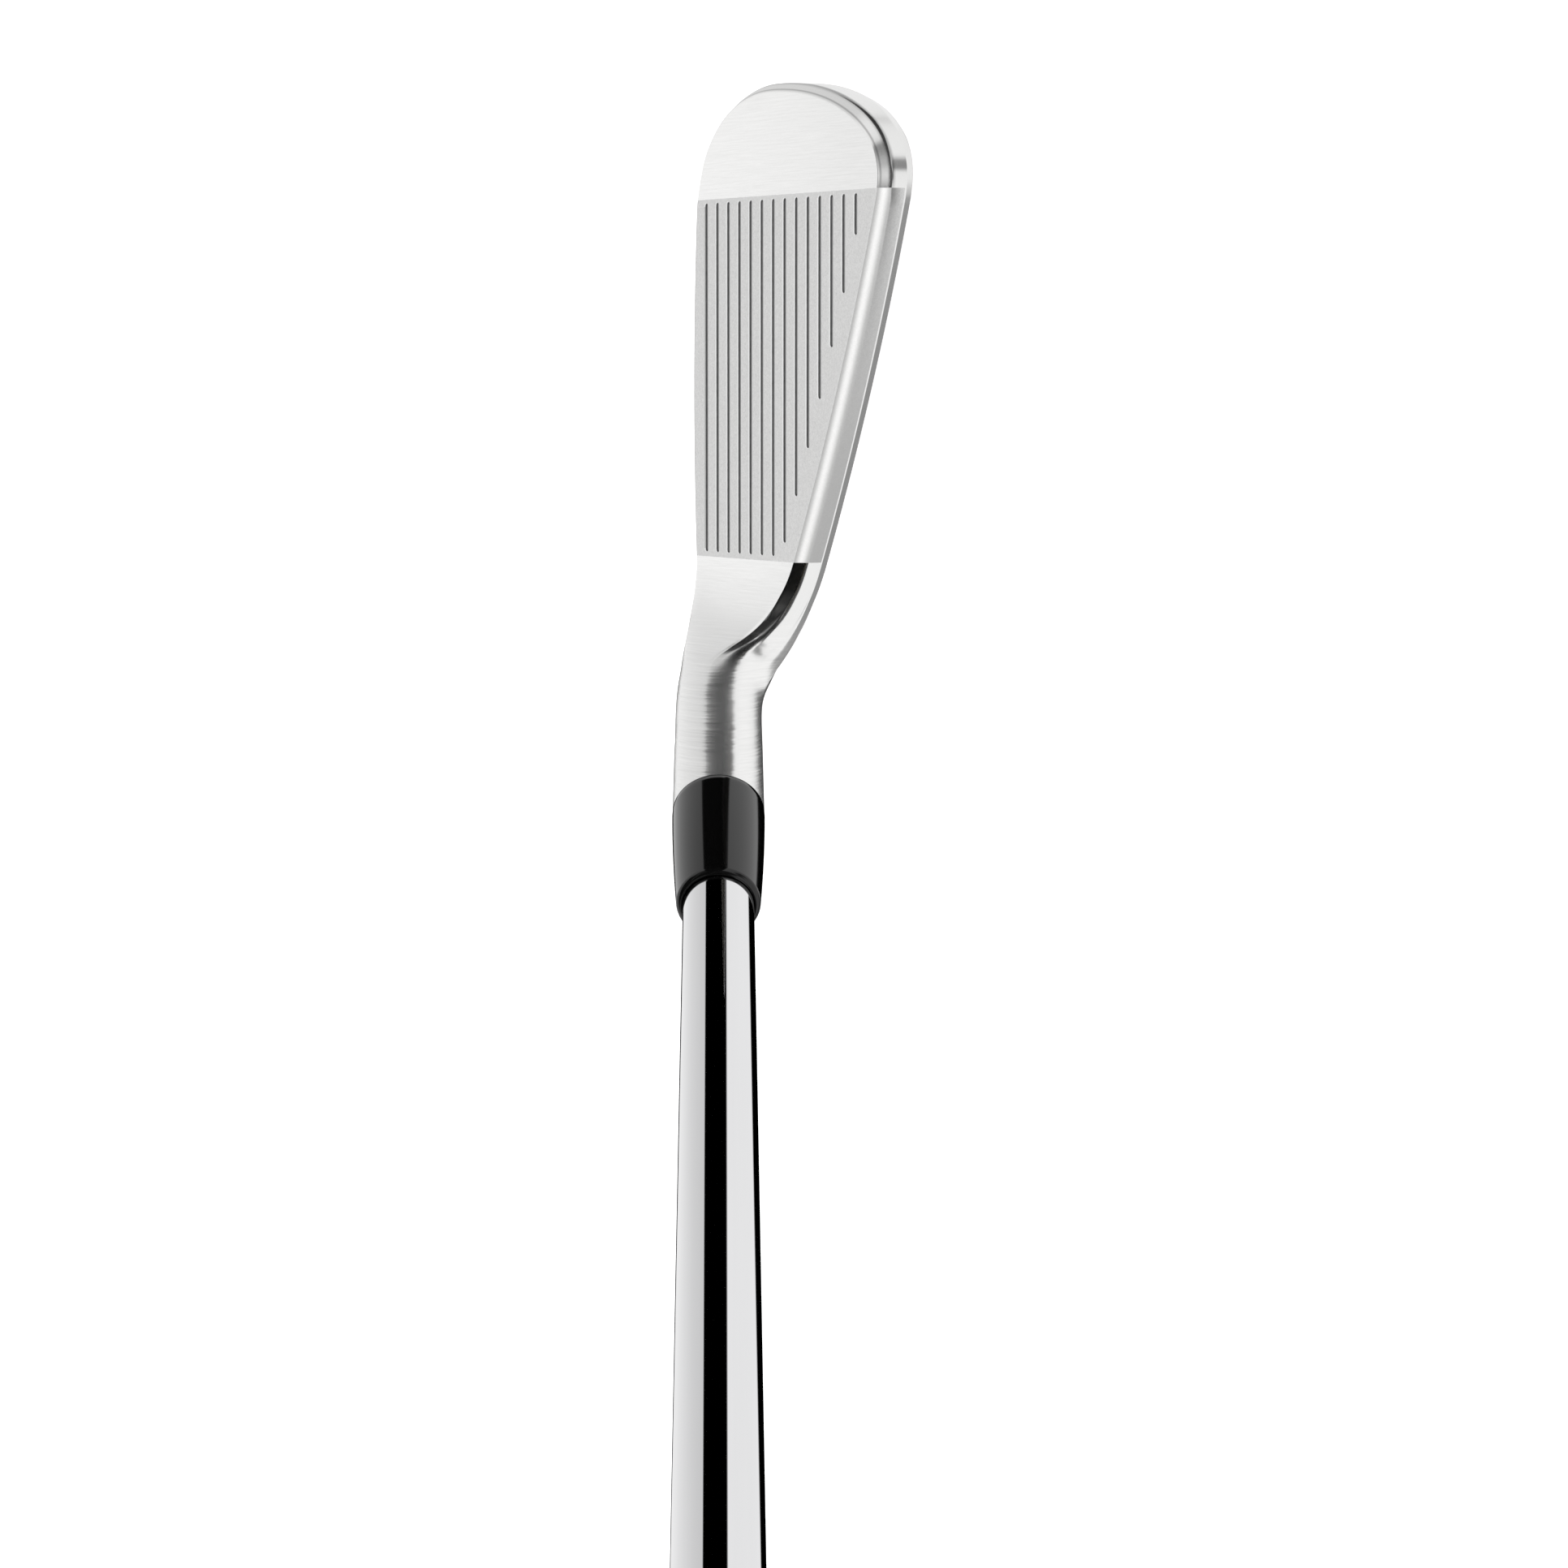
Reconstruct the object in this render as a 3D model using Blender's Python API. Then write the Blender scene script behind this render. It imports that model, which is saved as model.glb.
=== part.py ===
"""Iron golf club, right handed, standing at address: the sole on the ground,
the shaft leaning at its lie angle, the face turned to -Y, the toe to -X.

Frame: +Z up. The origin is the middle of the hands on the grip, on the shaft
axis. Every dimension below is in millimetres and is turned into metres when
the meshes are made.

Two helper frames are used:
  * the shaft frame: local Z runs up the shaft from the point where the shaft
    axis meets the ground (distance s along the shaft),
  * the face frame: w along the score lines towards the toe, h up the face,
    d into the head behind the face.
"""
import bpy
import bmesh
import math
from mathutils import Vector

for old in list(bpy.data.objects):
    bpy.data.objects.remove(old, do_unlink=True)

# ------------------------------------------------------------ driving sizes
LIE = math.radians(62.0)        # shaft to ground, seen from the front
LOFT = math.radians(27.0)       # face to the shaft plane
CLUB_LENGTH = 965.0             # 38 in along the shaft, ground to butt cap
HAND_FROM_BUTT = 100.0          # middle of the hands below the butt cap

# face and blade outline
FACE_X = -1.80                  # lowest score line: distance behind the shaft
FACE_Z = 4.50                   #   axis, and height above the axis' ground point
HEEL_W = 5.25                   # heel end of the flat face
TOE_W = 57.0                    # where the toe curve begins
TIP_W = 72.80                   # farthest point of the flat face
TIP_H = 20.0
TOP_HEEL_H = 27.6               # top edge of the face at HEEL_W
TOP_SLOPE = 0.575
TOP_CROWN = 0.00195
LOW_MID_H = -3.66               # bottom edge of the flat face, mid blade
LOW_MID_W = 29.5
LOW_ROCKER = 0.0014
# toe curve: (share of the way back from the tip, upper h, lower h)
TOE_CURVE = (
    (0.00, 20.0, 20.0),
    (0.24, 31.6, 12.3),
    (0.42, 39.7, 7.0),
    (0.60, 46.6, 2.7),
    (0.76, 51.0, -0.3),
    (0.88, 52.5, -1.65),
)

# score lines
LINE_COUNT = 14
LINE_PITCH = 3.556
LINE_WIDTH = 0.90
LINE_DEPTH = 0.45
LINE_TOE_W = 57.5
LINE_HEEL_W = 6.0
LINE_MARGIN = 4.3               # stays about this far below the top edge
LINE_BOW = (0.455, 0.105)       # the ends of the upper lines lie on a slight bow

# rim of the blade, seen across its edge: corner points (outward, depth) and
# corner radii, for the top line, the toe tip and the sole
RIM_TOP = ((0.10, 0.0), (1.50, 1.50), (1.50, 3.90), (1.05, 5.10), (-1.5, 5.25))
RIM_TOP_R = (0.30, 0.80, 0.30, 0.40)
RIM_TIP = ((0.10, 0.0), (1.35, 1.40), (1.40, 5.80), (0.40, 8.20), (-2.4, 9.00))
RIM_TIP_R = (0.35, 0.90, 2.60, 1.20)
RIM_SOLE = ((0.764, 0.0), (1.591, 1.285), (-0.73, 6.36), (-7.60, 17.10), (-14.0, 13.2))
RIM_SOLE_R = (1.35, 1.35, 8.0, 2.2)
SOLE_RUN_OUT = 1.35             # share from the tip where the sole is full width

# hosel and bore
HOSEL_START = 34.0              # distances up the shaft axis
HOSEL_TOP = 61.2
HOSEL_R_LOW = 6.22
HOSEL_R_TOP = 6.42
BORE_R = 5.25
BORE_BOTTOM = 31.5

# shaft
SHAFT_TIP = 34.5
SHAFT_BUTT = 959.5
SHAFT_REF = 83.2                # top of the ferrule
SHAFT_REF_D = 9.70
SHAFT_TAPER = 0.0095
SHAFT_TAPER_2 = 3.6e-6
WALL_TIP = 1.00
WALL_BUTT = 0.42

FERRULE_LENGTH = 22.8
FERRULE_R_LOW = 6.43
FERRULE_R_MID = 6.46
FERRULE_R_TOP = 5.78

GRIP_MOUTH = 698.5
GRIP_TOP = 959.7
CAP_BOTTOM = 960.0

# cavity in the back of the blade
FACE_THICK = 3.0
POCKET_RIM = 5.6                # land between the cavity and the face outline
POCKET_HEEL_W = 13.5
POCKET_LOW_H = 15.5             # lower edge at the heel end
POCKET_LOW_SLOPE = 0.035        # it climbs a little towards the toe
POCKET_CORNER = 5.0

MM = 0.001
SL, CL = math.sin(LOFT), math.cos(LOFT)
GROUND = Vector((-(CLUB_LENGTH - HAND_FROM_BUTT) * math.cos(LIE), 0.0,
                 -(CLUB_LENGTH - HAND_FROM_BUTT) * math.sin(LIE)))
AXIS = Vector((math.cos(LIE), 0.0, math.sin(LIE)))


# ---------------------------------------------------------------- geometry
def place(x_behind, w_toe, z_up):
    """Millimetres about the shaft's ground point, in the part's frame."""
    return Vector((GROUND.x - w_toe, x_behind, GROUND.z + z_up))


def on_face(w, h, d=0.0):
    return place(FACE_X + h * SL + d * CL, w, FACE_Z + h * CL - d * SL)


def depth_behind_face(co):
    """Depth in millimetres of a point given in metres."""
    p = co / MM - on_face(0.0, 0.0)
    return p.y * CL - p.z * SL


def spline(xs, ys, x):
    """Cubic through the points, slopes from the neighbours."""
    n = len(xs)
    k = 0
    while k < n - 2 and x > xs[k + 1]:
        k += 1

    def slope(i):
        if i == 0:
            return (ys[1] - ys[0]) / (xs[1] - xs[0])
        if i == n - 1:
            return (ys[-1] - ys[-2]) / (xs[-1] - xs[-2])
        a = (ys[i] - ys[i - 1]) / (xs[i] - xs[i - 1])
        b = (ys[i + 1] - ys[i]) / (xs[i + 1] - xs[i])
        wa, wb = xs[i + 1] - xs[i], xs[i] - xs[i - 1]
        return (a * wa + b * wb) / (wa + wb)
    dx = xs[k + 1] - xs[k]
    t = (x - xs[k]) / dx
    return ((2 * t ** 3 - 3 * t ** 2 + 1) * ys[k] + (t ** 3 - 2 * t ** 2 + t) * dx * slope(k)
            + (-2 * t ** 3 + 3 * t ** 2) * ys[k + 1] + (t ** 3 - t ** 2) * dx * slope(k + 1))


def top_h(w):
    return TOP_HEEL_H + TOP_SLOPE * (w - HEEL_W) - TOP_CROWN * (w - HEEL_W) ** 2


def low_h(w):
    return LOW_MID_H + LOW_ROCKER * (w - LOW_MID_W) ** 2


def back_share(w):
    """0 at the tip of the toe, 1 at TOE_W and beyond."""
    return math.sqrt(max(0.0, (TIP_W - w) / (TIP_W - TOE_W)))


def outline(q):
    """Face edge at share q back from the tip: (w, upper h, lower h)."""
    w = TIP_W - (TIP_W - TOE_W) * q * q
    if q >= 1.0:
        return w, top_h(w), low_h(w)
    qs = [c[0] for c in TOE_CURVE]
    up = [c[1] for c in TOE_CURVE]
    lo = [c[2] for c in TOE_CURVE]
    # two points of the straight blade carry the curve on smoothly
    for qq in (1.0, 1.12):
        ww = TIP_W - (TIP_W - TOE_W) * qq * qq
        qs.append(qq)
        up.append(top_h(ww))
        lo.append(low_h(ww))
    # mirrored start gives an upright tangent at the tip
    qs = [-qs[1]] + qs
    up = [lo[1]] + up
    lo = [up[2]] + lo
    return w, spline(qs, up, q), spline(qs, lo, q)


def rounded(corners, radii, start, per_arc, per_run):
    """Open polyline with its corners replaced by arcs."""
    pts = [Vector(start)]
    cs = [Vector(c) for c in corners]
    prev_end = Vector(start)
    for i, r in enumerate(radii):
        c = cs[i]
        before = (Vector(start) if i == 0 else cs[i - 1])
        u = (c - before).normalized()
        v = (cs[i + 1] - c).normalized()
        turn = math.atan2(u.x * v.y - u.y * v.x, u.dot(v))
        cut = min(r * abs(math.tan(turn / 2)), 0.49 * (c - before).length,
                  0.49 * (cs[i + 1] - c).length)
        a, b = c - u * cut, c + v * cut
        for k in range(1, per_run[i]):
            pts.append(prev_end.lerp(a, k / per_run[i]))
        for k in range(per_arc[i] + 1):
            t = k / per_arc[i]
            # quadratic through the corner stands in for the arc
            pts.append(a * (1 - t) ** 2 + c * 2 * t * (1 - t) + b * t ** 2)
        prev_end = b
    last = cs[len(radii)]
    n = per_run[len(radii)]
    for k in range(1, n + 1):
        pts.append(prev_end.lerp(last, k / n))
    return pts


def mix(a, b, t):
    return [Vector(x).lerp(Vector(y), t) for x, y in zip(a, b)]


def mixr(a, b, t):
    return [x + (y - x) * t for x, y in zip(a, b)]


def smooth(t):
    t = min(1.0, max(0.0, t))
    return t * t * (3 - 2 * t)


def rim(q, upper, res):
    """Rim profile at share q back from the tip."""
    if upper:
        t = smooth(q / 1.0)
        c, r = mix(RIM_TIP, RIM_TOP, t), mixr(RIM_TIP_R, RIM_TOP_R, t)
    else:
        # the leading edge is formed early, the wide back of the sole later
        t, tb = smooth(q / 1.15), smooth(q / SOLE_RUN_OUT)
        c = mix(RIM_TIP[:3], RIM_SOLE[:3], t) + mix(RIM_TIP[3:], RIM_SOLE[3:], tb)
        r = mixr(RIM_TIP_R, RIM_SOLE_R, t)
    return rounded(c, r, (-0.6, 0.0), res["arc"], res["run"])


def blade_section(q, res):
    """Closed loop of points across the blade, starting at the foot of the
    face, up the face, over the top line, down the back and round the sole."""
    w, hu, hl = outline(q)
    e = 1e-3
    w1, hu1, hl1 = outline(q + e)
    w0, hu0, hl0 = outline(max(0.0, q - e))
    if q <= e:
        nu = nl = Vector((1.0, 0.0))
    else:
        tu = Vector((w0 - w1, hu0 - hu1))
        tl = Vector((w0 - w1, hl0 - hl1))
        nu = Vector((-tu.y, tu.x)).normalized()
        nl = Vector((tl.y, -tl.x)).normalized()
    up = [(w + nu.x * p.x, hu + nu.y * p.x, p.y) for p in rim(q, True, res)]
    lo = [(w + nl.x * p.x, hl + nl.y * p.x, p.y) for p in rim(q, False, res)]
    n = res["face"]
    face = [tuple(lo[0][i] + (up[0][i] - lo[0][i]) * k / n for i in range(3)) for k in range(1, n)]
    n = res["back"]
    a, b = Vector(up[-1]), Vector(lo[-1])
    ta = (Vector(up[-1]) - Vector(up[-2])).normalized()
    tb = (Vector(lo[-2]) - Vector(lo[-1])).normalized()
    span = (b - a).length
    back = []
    for k in range(1, n):
        t = k / n
        back.append(tuple((2 * t ** 3 - 3 * t ** 2 + 1) * a + (t ** 3 - 2 * t ** 2 + t) * span * ta
                          + (-2 * t ** 3 + 3 * t ** 2) * b + (t ** 3 - t ** 2) * span * tb))
    loop = [lo[0]] + face + up + back + lo[:0:-1]
    return [on_face(*p) for p in loop]


def hosel_r(s):
    return HOSEL_R_LOW + (HOSEL_R_TOP - HOSEL_R_LOW) * (s - HOSEL_START) / (HOSEL_TOP - HOSEL_START)


def about_axis(s, r, phi):
    """Point at angle phi about the shaft axis; 0 is the toe side, 90 the back."""
    m = Vector((-math.sin(LIE), 0.0, math.cos(LIE)))
    return GROUND + AXIS * s + m * (r * math.cos(phi)) + Vector((0, 1, 0)) * (r * math.sin(phi))


# where each corner of the blade section lands on the hosel: angle about the
# shaft axis, and how far the neck surface runs on along the blade and along
# the hosel before it turns
NECK_FACE_LOW = (-104.0, 0.55, 1.90)
NECK_FACE_TOP = (-20.0, 2.30, 1.40)
NECK_RIM_TOP = ((-14.0, 2.30, 1.38), (20.0, 2.31, 1.35), (62.0, 2.32, 1.30), (84.0, 2.34, 1.24), (98.0, 2.35, 1.20))
NECK_BACK_LOW = (152.0, 0.80, 1.00)
NECK_RIM_SOLE = ((166.0, 0.80, 1.05), (186.0, 0.78, 1.15), (212.0, 0.70, 1.35), (240.0, 0.60, 1.70), (256.0, 0.55, 1.90))


NECK_EASE = 0.15                # share of the neck over which each bend is eased


def neck_marks(res):
    """Angle and run-on lengths for each point of a section, sections being
    counted foot of face, face, top rim, back, sole rim."""
    nf, nb = res["face"], res["back"]
    arc, run = res["arc"], res["run"]
    parts = (run[0] + arc[0], run[1] + arc[1], run[2] + arc[2], run[3] + arc[3], run[4])
    marks = [(0, NECK_FACE_LOW), (nf, NECK_FACE_TOP)]
    k = nf
    for part, m in zip(parts, NECK_RIM_TOP):
        k += part
        marks.append((k, m))
    k += nb
    marks.append((k, NECK_BACK_LOW))
    for part, m in zip(reversed(parts), NECK_RIM_SOLE):
        k += part
        marks.append((k, m))
    xs = [m[0] for m in marks]
    cols = [[m[1][c] for m in marks] for c in range(3)]
    return [tuple(spline(xs, col, i) for col in cols) for i in range(k)]


def ring_angles(res):
    return [math.radians(m[0]) for m in neck_marks(res)]


def neck_line(a, ta, b, tb, t):
    """Curve from a to b with end tangents ta and tb, straight beyond b."""
    if t > 1:
        return b + tb * (t - 1)
    return ((2 * t ** 3 - 3 * t ** 2 + 1) * a + (t ** 3 - 2 * t ** 2 + t) * ta
            + (-2 * t ** 3 + 3 * t ** 2) * b + (t ** 3 - t ** 2) * tb)


def eased(a, ta, b, tb, t):
    """The neck line averaged over a short run, so that it flows into the hosel."""
    half = min(NECK_EASE, t)
    total = Vector((0, 0, 0))
    weights = 0.0
    for k in range(-6, 7):
        w = 1 - (k / 7) ** 2
        total += neck_line(a, ta, b, tb, t + half * k / 6) * w
        weights += w
    return total / weights


def head_rings(res):
    """Rings of points from the top of the hosel to the toe."""
    rings = []
    angles = ring_angles(res)
    heel_q = back_share(HEEL_W)
    first = blade_section(heel_q, res)
    ahead = blade_section(back_share(HEEL_W + 0.5), res)
    n = len(first)
    # hosel, top down
    for s in res["hosel"]:
        rings.append([about_axis(s, hosel_r(s), angles[i]) for i in range(n)])
    # neck
    marks = neck_marks(res)
    steps = res["neck"]
    for k in range(steps):
        t = (1 + NECK_EASE) * (1 - k / steps)
        ring = []
        for i in range(n):
            a = first[i]
            b = about_axis(HOSEL_START, HOSEL_R_LOW, angles[i])
            span = (b - a).length
            ta = (first[i] - ahead[i]).normalized() * span * marks[i][1]
            ring.append(eased(a, ta, b, AXIS * span * marks[i][2], t))
        rings.append(ring)
    rings.append(first)
    for w in res["blade"]:
        rings.append(blade_section(back_share(w), res))
    for k in range(1, res["toe"]):
        rings.append(blade_section(1.0 - k / res["toe"], res))
    rings.append(blade_section(0.0, res))
    return rings


CAD = {"face": 6, "back": 6, "arc": (1, 2, 2, 2), "run": (1, 1, 2, 1, 1),
       "hosel": (HOSEL_TOP, 54.0, 47.0), "neck": 10,
       "blade": (11.0, 17.0, 23.0, 29.0, 35.0, 41.0, 47.0, 52.0, 57.0), "toe": 9}


def head_mesh(res):
    rings = head_rings(res)
    bm = bmesh.new()
    n = len(rings[0])
    nf, nb = res["face"], res["back"]
    nr = n - nf - nb            # both rims together
    half = nr // 2
    loops = [[bm.verts.new(p * MM) for p in ring] for ring in rings[:-1]]
    # the last ring folds shut: upper and lower rims meet, point by point
    tip_ring = rings[-1]
    tip = [None] * n
    rim_v = [bm.verts.new(tip_ring[nf + k] * MM) for k in range(half + 1)]
    for k in range(half + 1):
        tip[nf + k] = rim_v[k]
        tip[(n - k) % n] = rim_v[k]
    for k in range(1, nf):
        tip[k] = rim_v[0]
    for k in range(1, nb):
        tip[nf + half + k] = rim_v[half]
    loops.append(tip)
    for a, b in zip(loops, loops[1:]):
        for i in range(n):
            j = (i + 1) % n
            quad = []
            for v in (a[i], a[j], b[j], b[i]):
                if v not in quad:
                    quad.append(v)
            if len(quad) >= 3:
                bm.faces.new(quad)
    # hosel top and the blind bore
    angles = ring_angles(res)
    bore = [[bm.verts.new(about_axis(s, r, angles[i]) * MM) for i in range(n)]
            for s, r in ((HOSEL_TOP, BORE_R + 0.25), (HOSEL_TOP - 0.25, BORE_R), (BORE_BOTTOM, BORE_R))]
    chain = [loops[0]] + bore
    for a, b in zip(chain, chain[1:]):
        for i in range(n):
            j = (i + 1) % n
            bm.faces.new((a[i], b[i], b[j], a[j]))
    bm.faces.new(list(reversed(bore[-1])))
    # the flat of the face becomes one polygon
    flat = []
    for f in bm.faces:
        if all(abs(depth_behind_face(v.co)) < 1e-4 for v in f.verts):
            flat.append(f)
    bmesh.ops.dissolve_faces(bm, faces=flat, use_verts=False)
    bmesh.ops.recalc_face_normals(bm, faces=bm.faces[:])
    return bm


# ------------------------------------------------------------- object tools
def material(name, colour, rough, metal):
    m = bpy.data.materials.new(name)
    m.use_nodes = True
    b = m.node_tree.nodes["Principled BSDF"]
    b.inputs["Base Color"].default_value = (*colour, 1.0)
    b.inputs["Roughness"].default_value = rough
    b.inputs["Metallic"].default_value = metal
    return m


def add_object(name, bm, mat, smooth_deg=35.0):
    me = bpy.data.meshes.new(name)
    bm.to_mesh(me)
    bm.free()
    me.shade_smooth()
    me.set_sharp_from_angle(angle=math.radians(smooth_deg))
    ob = bpy.data.objects.new(name, me)
    bpy.context.scene.collection.objects.link(ob)
    if mat is not None:
        me.materials.append(mat)
    return ob


def cutter(ob):
    ob.hide_render = True
    ob.display_type = 'WIRE'
    return ob


def cut(ob, tool, name):
    md = ob.modifiers.new(name, 'BOOLEAN')
    md.operation = 'DIFFERENCE'
    md.solver = 'EXACT'
    md.object = tool


def prism(outline_wh, d_front, d_back, bm=None, shrink_back=0.0):
    """Closed prism on the face frame: outline in (w, h), from d_front to d_back."""
    bm = bm or bmesh.new()
    front = [bm.verts.new(on_face(w, h, d_front) * MM) for w, h in outline_wh]
    rear = [bm.verts.new(on_face(w, h, d_back) * MM) for w, h in outline_wh]
    n = len(front)
    faces = [bm.faces.new(front), bm.faces.new(list(reversed(rear)))]
    for i in range(n):
        j = (i + 1) % n
        faces.append(bm.faces.new((front[i], rear[i], rear[j], front[j])))
    bmesh.ops.recalc_face_normals(bm, faces=faces)
    return bm


shaft_frame = bpy.data.objects.new("shaft_frame", None)
shaft_frame.location = GROUND * MM
shaft_frame.rotation_euler = (0.0, math.pi / 2 - LIE, 0.0)
bpy.context.scene.collection.objects.link(shaft_frame)


def turned(name, profile, mat, steps, closed=True, smooth_deg=35.0):
    """Solid of revolution about the shaft axis. The profile is a list of
    (radius, distance up the shaft), outer side first, from the top down."""
    bm = bmesh.new()
    vs = [bm.verts.new((r * MM, 0.0, s * MM)) for r, s in profile]
    for a, b in zip(vs, vs[1:]):
        bm.edges.new((a, b))
    if closed:
        bm.edges.new((vs[-1], vs[0]))
    me = bpy.data.meshes.new(name)
    bm.to_mesh(me)
    bm.free()
    ob = bpy.data.objects.new(name, me)
    bpy.context.scene.collection.objects.link(ob)
    me.materials.append(mat)
    ob.parent = shaft_frame
    md = ob.modifiers.new("turn", 'SCREW')
    md.axis = 'Z'
    md.angle = 2 * math.pi
    md.steps = steps
    md.render_steps = steps
    md.use_merge_vertices = True
    md.merge_threshold = 0.00001
    md.use_smooth_shade = True
    return ob


# ---------------------------------------------------------------- materials
M_HEAD = material("head_steel", (0.62, 0.62, 0.61), 0.28, 1.0)
M_BADGE = material("badge_metal", (0.30, 0.30, 0.31), 0.35, 1.0)
M_TAPE = material("adhesive_tape", (0.75, 0.73, 0.68), 0.70, 0.0)
M_SHAFT = material("shaft_chrome", (0.80, 0.80, 0.81), 0.06, 1.0)
M_FERRULE = material("ferrule_black", (0.012, 0.012, 0.013), 0.16, 0.0)
M_EPOXY = material("epoxy_resin", (0.46, 0.42, 0.30), 0.45, 0.0)
M_BRASS = material("plug_brass", (0.72, 0.55, 0.25), 0.35, 1.0)
M_GRIP = material("grip_rubber", (0.018, 0.018, 0.018), 0.75, 0.0)
M_CAP = material("cap_rubber", (0.022, 0.022, 0.022), 0.60, 0.0)

# --------------------------------------------------------------------- head
head = add_object("iron_head", head_mesh(CAD), M_HEAD, 30.0)


def line_heel(i):
    """Heel end of score line i: the lower ones are full length, the upper
    ones stop short of the top line."""
    h = i * LINE_PITCH
    w = LINE_HEEL_W
    while top_h(w) - h < LINE_MARGIN and w < LINE_TOE_W - 1.0:
        w += 0.05
    x = max(0, i - 7)
    return w + LINE_BOW[0] * x - LINE_BOW[1] * x * x


grooves = bmesh.new()
for i in range(LINE_COUNT):
    h0 = i * LINE_PITCH
    wa, wb = line_heel(i), LINE_TOE_W
    half = LINE_WIDTH / 2

    def stadium(half_h, d):
        pts = []
        for end, sgn in ((wb, 1.0), (wa, -1.0)):
            for k in range(5):
                a = math.radians(-90 + 45 * k)
                pts.append((end - sgn * half + sgn * half_h * math.cos(a), h0 + sgn * half_h * math.sin(a), d))
        return [grooves.verts.new(on_face(*p) * MM) for p in pts]
    mouth = stadium(half * 1.12, -0.30)
    lip = stadium(half, 0.0)
    floor = stadium(half * 0.55, LINE_DEPTH)
    n = len(mouth)
    fs = [grooves.faces.new(mouth), grooves.faces.new(list(reversed(floor)))]
    for a, b in ((mouth, lip), (lip, floor)):
        for k in range(n):
            m = (k + 1) % n
            fs.append(grooves.faces.new((a[k], b[k], b[m], a[m])))
    bmesh.ops.recalc_face_normals(grooves, faces=fs)


def round_corner(pts, i, radius, steps=6):
    """Replace corner i of a closed polygon by a curve that starts and ends
    radius away from it, measured along the polygon."""
    n = len(pts)
    c = Vector(pts[i])

    def walk(step):
        left, k, here = radius, i, c
        used = 0
        while True:
            nxt = Vector(pts[(k + step) % n])
            d = (nxt - here).length
            if d >= left:
                return here.lerp(nxt, left / d), used
            left -= d
            here, k, used = nxt, k + step, used + 1
    a, na = walk(-1)
    b, nb = walk(1)
    arc = []
    for m in range(steps + 1):
        t = m / steps
        p = a * (1 - t) ** 2 + c * 2 * t * (1 - t) + b * t ** 2
        arc.append((p.x, p.y))
    keep = [pts[(i + 1 + nb + m) % n] for m in range(n - 1 - na - nb)]
    return keep, arc


def pocket_low(w):
    return POCKET_LOW_H + POCKET_LOW_SLOPE * (w - POCKET_HEEL_W)


def pocket_outline(inset):
    """Outline of the back cavity, (w, h), shrunk by inset: it keeps a land of
    even width to the top line and the toe, and runs straight below."""
    gap = POCKET_RIM + inset
    w_heel = POCKET_HEEL_W + inset
    edge = []
    for k in range(9):
        w = w_heel + 1.0 + (TOE_W - 1.0 - w_heel) * k / 8
        slope = TOP_SLOPE - 2 * TOP_CROWN * (w - HEEL_W)
        nx, ny = Vector((-slope, 1.0)).normalized()
        edge.append((w - nx * gap, top_h(w) - ny * gap))
    for k in range(1, 14):
        q = 1.0 - 0.085 * k
        w, hu, hl = outline(abs(q))
        h = hu if q > 0 else hl
        w1, hu1, hl1 = outline(abs(q) + 0.002)
        h1 = hu1 if q > 0 else hl1
        tx, ty = Vector((w1 - w, h1 - h)).normalized()
        nx, ny = (ty, -tx) if q > 0 else (-ty, tx)
        p = (w - abs(nx) * gap, h - ny * gap)
        if p[1] < pocket_low(p[0]) + inset:
            break
        # the corner of the toe is tighter than the land is wide: skip the fold
        if q < 0 or p[0] > edge[-1][0] + 0.5:
            edge.append(p)
    a, b = Vector(edge[-2]), Vector(edge[-1])
    t = (b.y - (pocket_low(b.x) + inset)) / max(1e-6, (a.y - b.y))
    toe_low = b + (b - a) * t
    pts = edge + [(toe_low.x, toe_low.y), (w_heel, pocket_low(w_heel) + inset)]
    pts[0] = (w_heel, pts[0][1] + (pts[0][1] - pts[1][1]) / (pts[0][0] - pts[1][0]) * (w_heel - pts[0][0]))
    r = POCKET_CORNER - 0.4 * inset
    # corners: toe low, heel low, heel top
    n = len(pts)
    keep, arc1 = round_corner(pts, n - 2, r)
    pts = arc1 + keep
    i = min(range(len(pts)), key=lambda k: pts[k][0] + pts[k][1])
    keep, arc2 = round_corner(pts, i, r)
    pts = arc2 + keep
    i = min(range(len(pts)), key=lambda k: 2.0 * pts[k][0] - pts[k][1])
    keep, arc3 = round_corner(pts, i, r * 0.9)
    pts = arc3 + keep
    i = max(range(len(pts)), key=lambda k: pts[k][1])
    keep, arc4 = round_corner(pts, i, r * 0.8)
    return arc4 + keep


# score lines and back cavity are cut in one go
relief = prism(pocket_outline(0.0), FACE_THICK, 24.0, grooves)
relief_cutter = cutter(add_object("relief_cutter", relief, None))
cut(head, relief_cutter, "score_lines_and_cavity")

wn = head.modifiers.new("even_shading", 'WEIGHTED_NORMAL')
wn.weight = 80

badge_tape = add_object("badge_adhesive", prism(pocket_outline(1.4), FACE_THICK + 0.15, FACE_THICK + 0.55), M_TAPE)
badge = add_object("cavity_badge", prism(pocket_outline(0.6), FACE_THICK + 0.70, FACE_THICK + 2.00), M_BADGE)
bev = badge.modifiers.new("edge", 'BEVEL')
bev.width = 0.00025
bev.segments = 1
bev.limit_method = 'ANGLE'
bev.angle_limit = math.radians(60)


# ----------------------------------------------------- pieces on the shaft
def shaft_r(s):
    t = s - SHAFT_REF
    if t < 0:
        return 0.5 * (SHAFT_REF_D + t * 0.0057)
    return 0.5 * (SHAFT_REF_D + SHAFT_TAPER * t - SHAFT_TAPER_2 * t * t)


def shaft_wall(s):
    t = (s - SHAFT_TIP) / (SHAFT_BUTT - SHAFT_TIP)
    return WALL_TIP + (WALL_BUTT - WALL_TIP) * (1 - (1 - t) ** 2)


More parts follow.
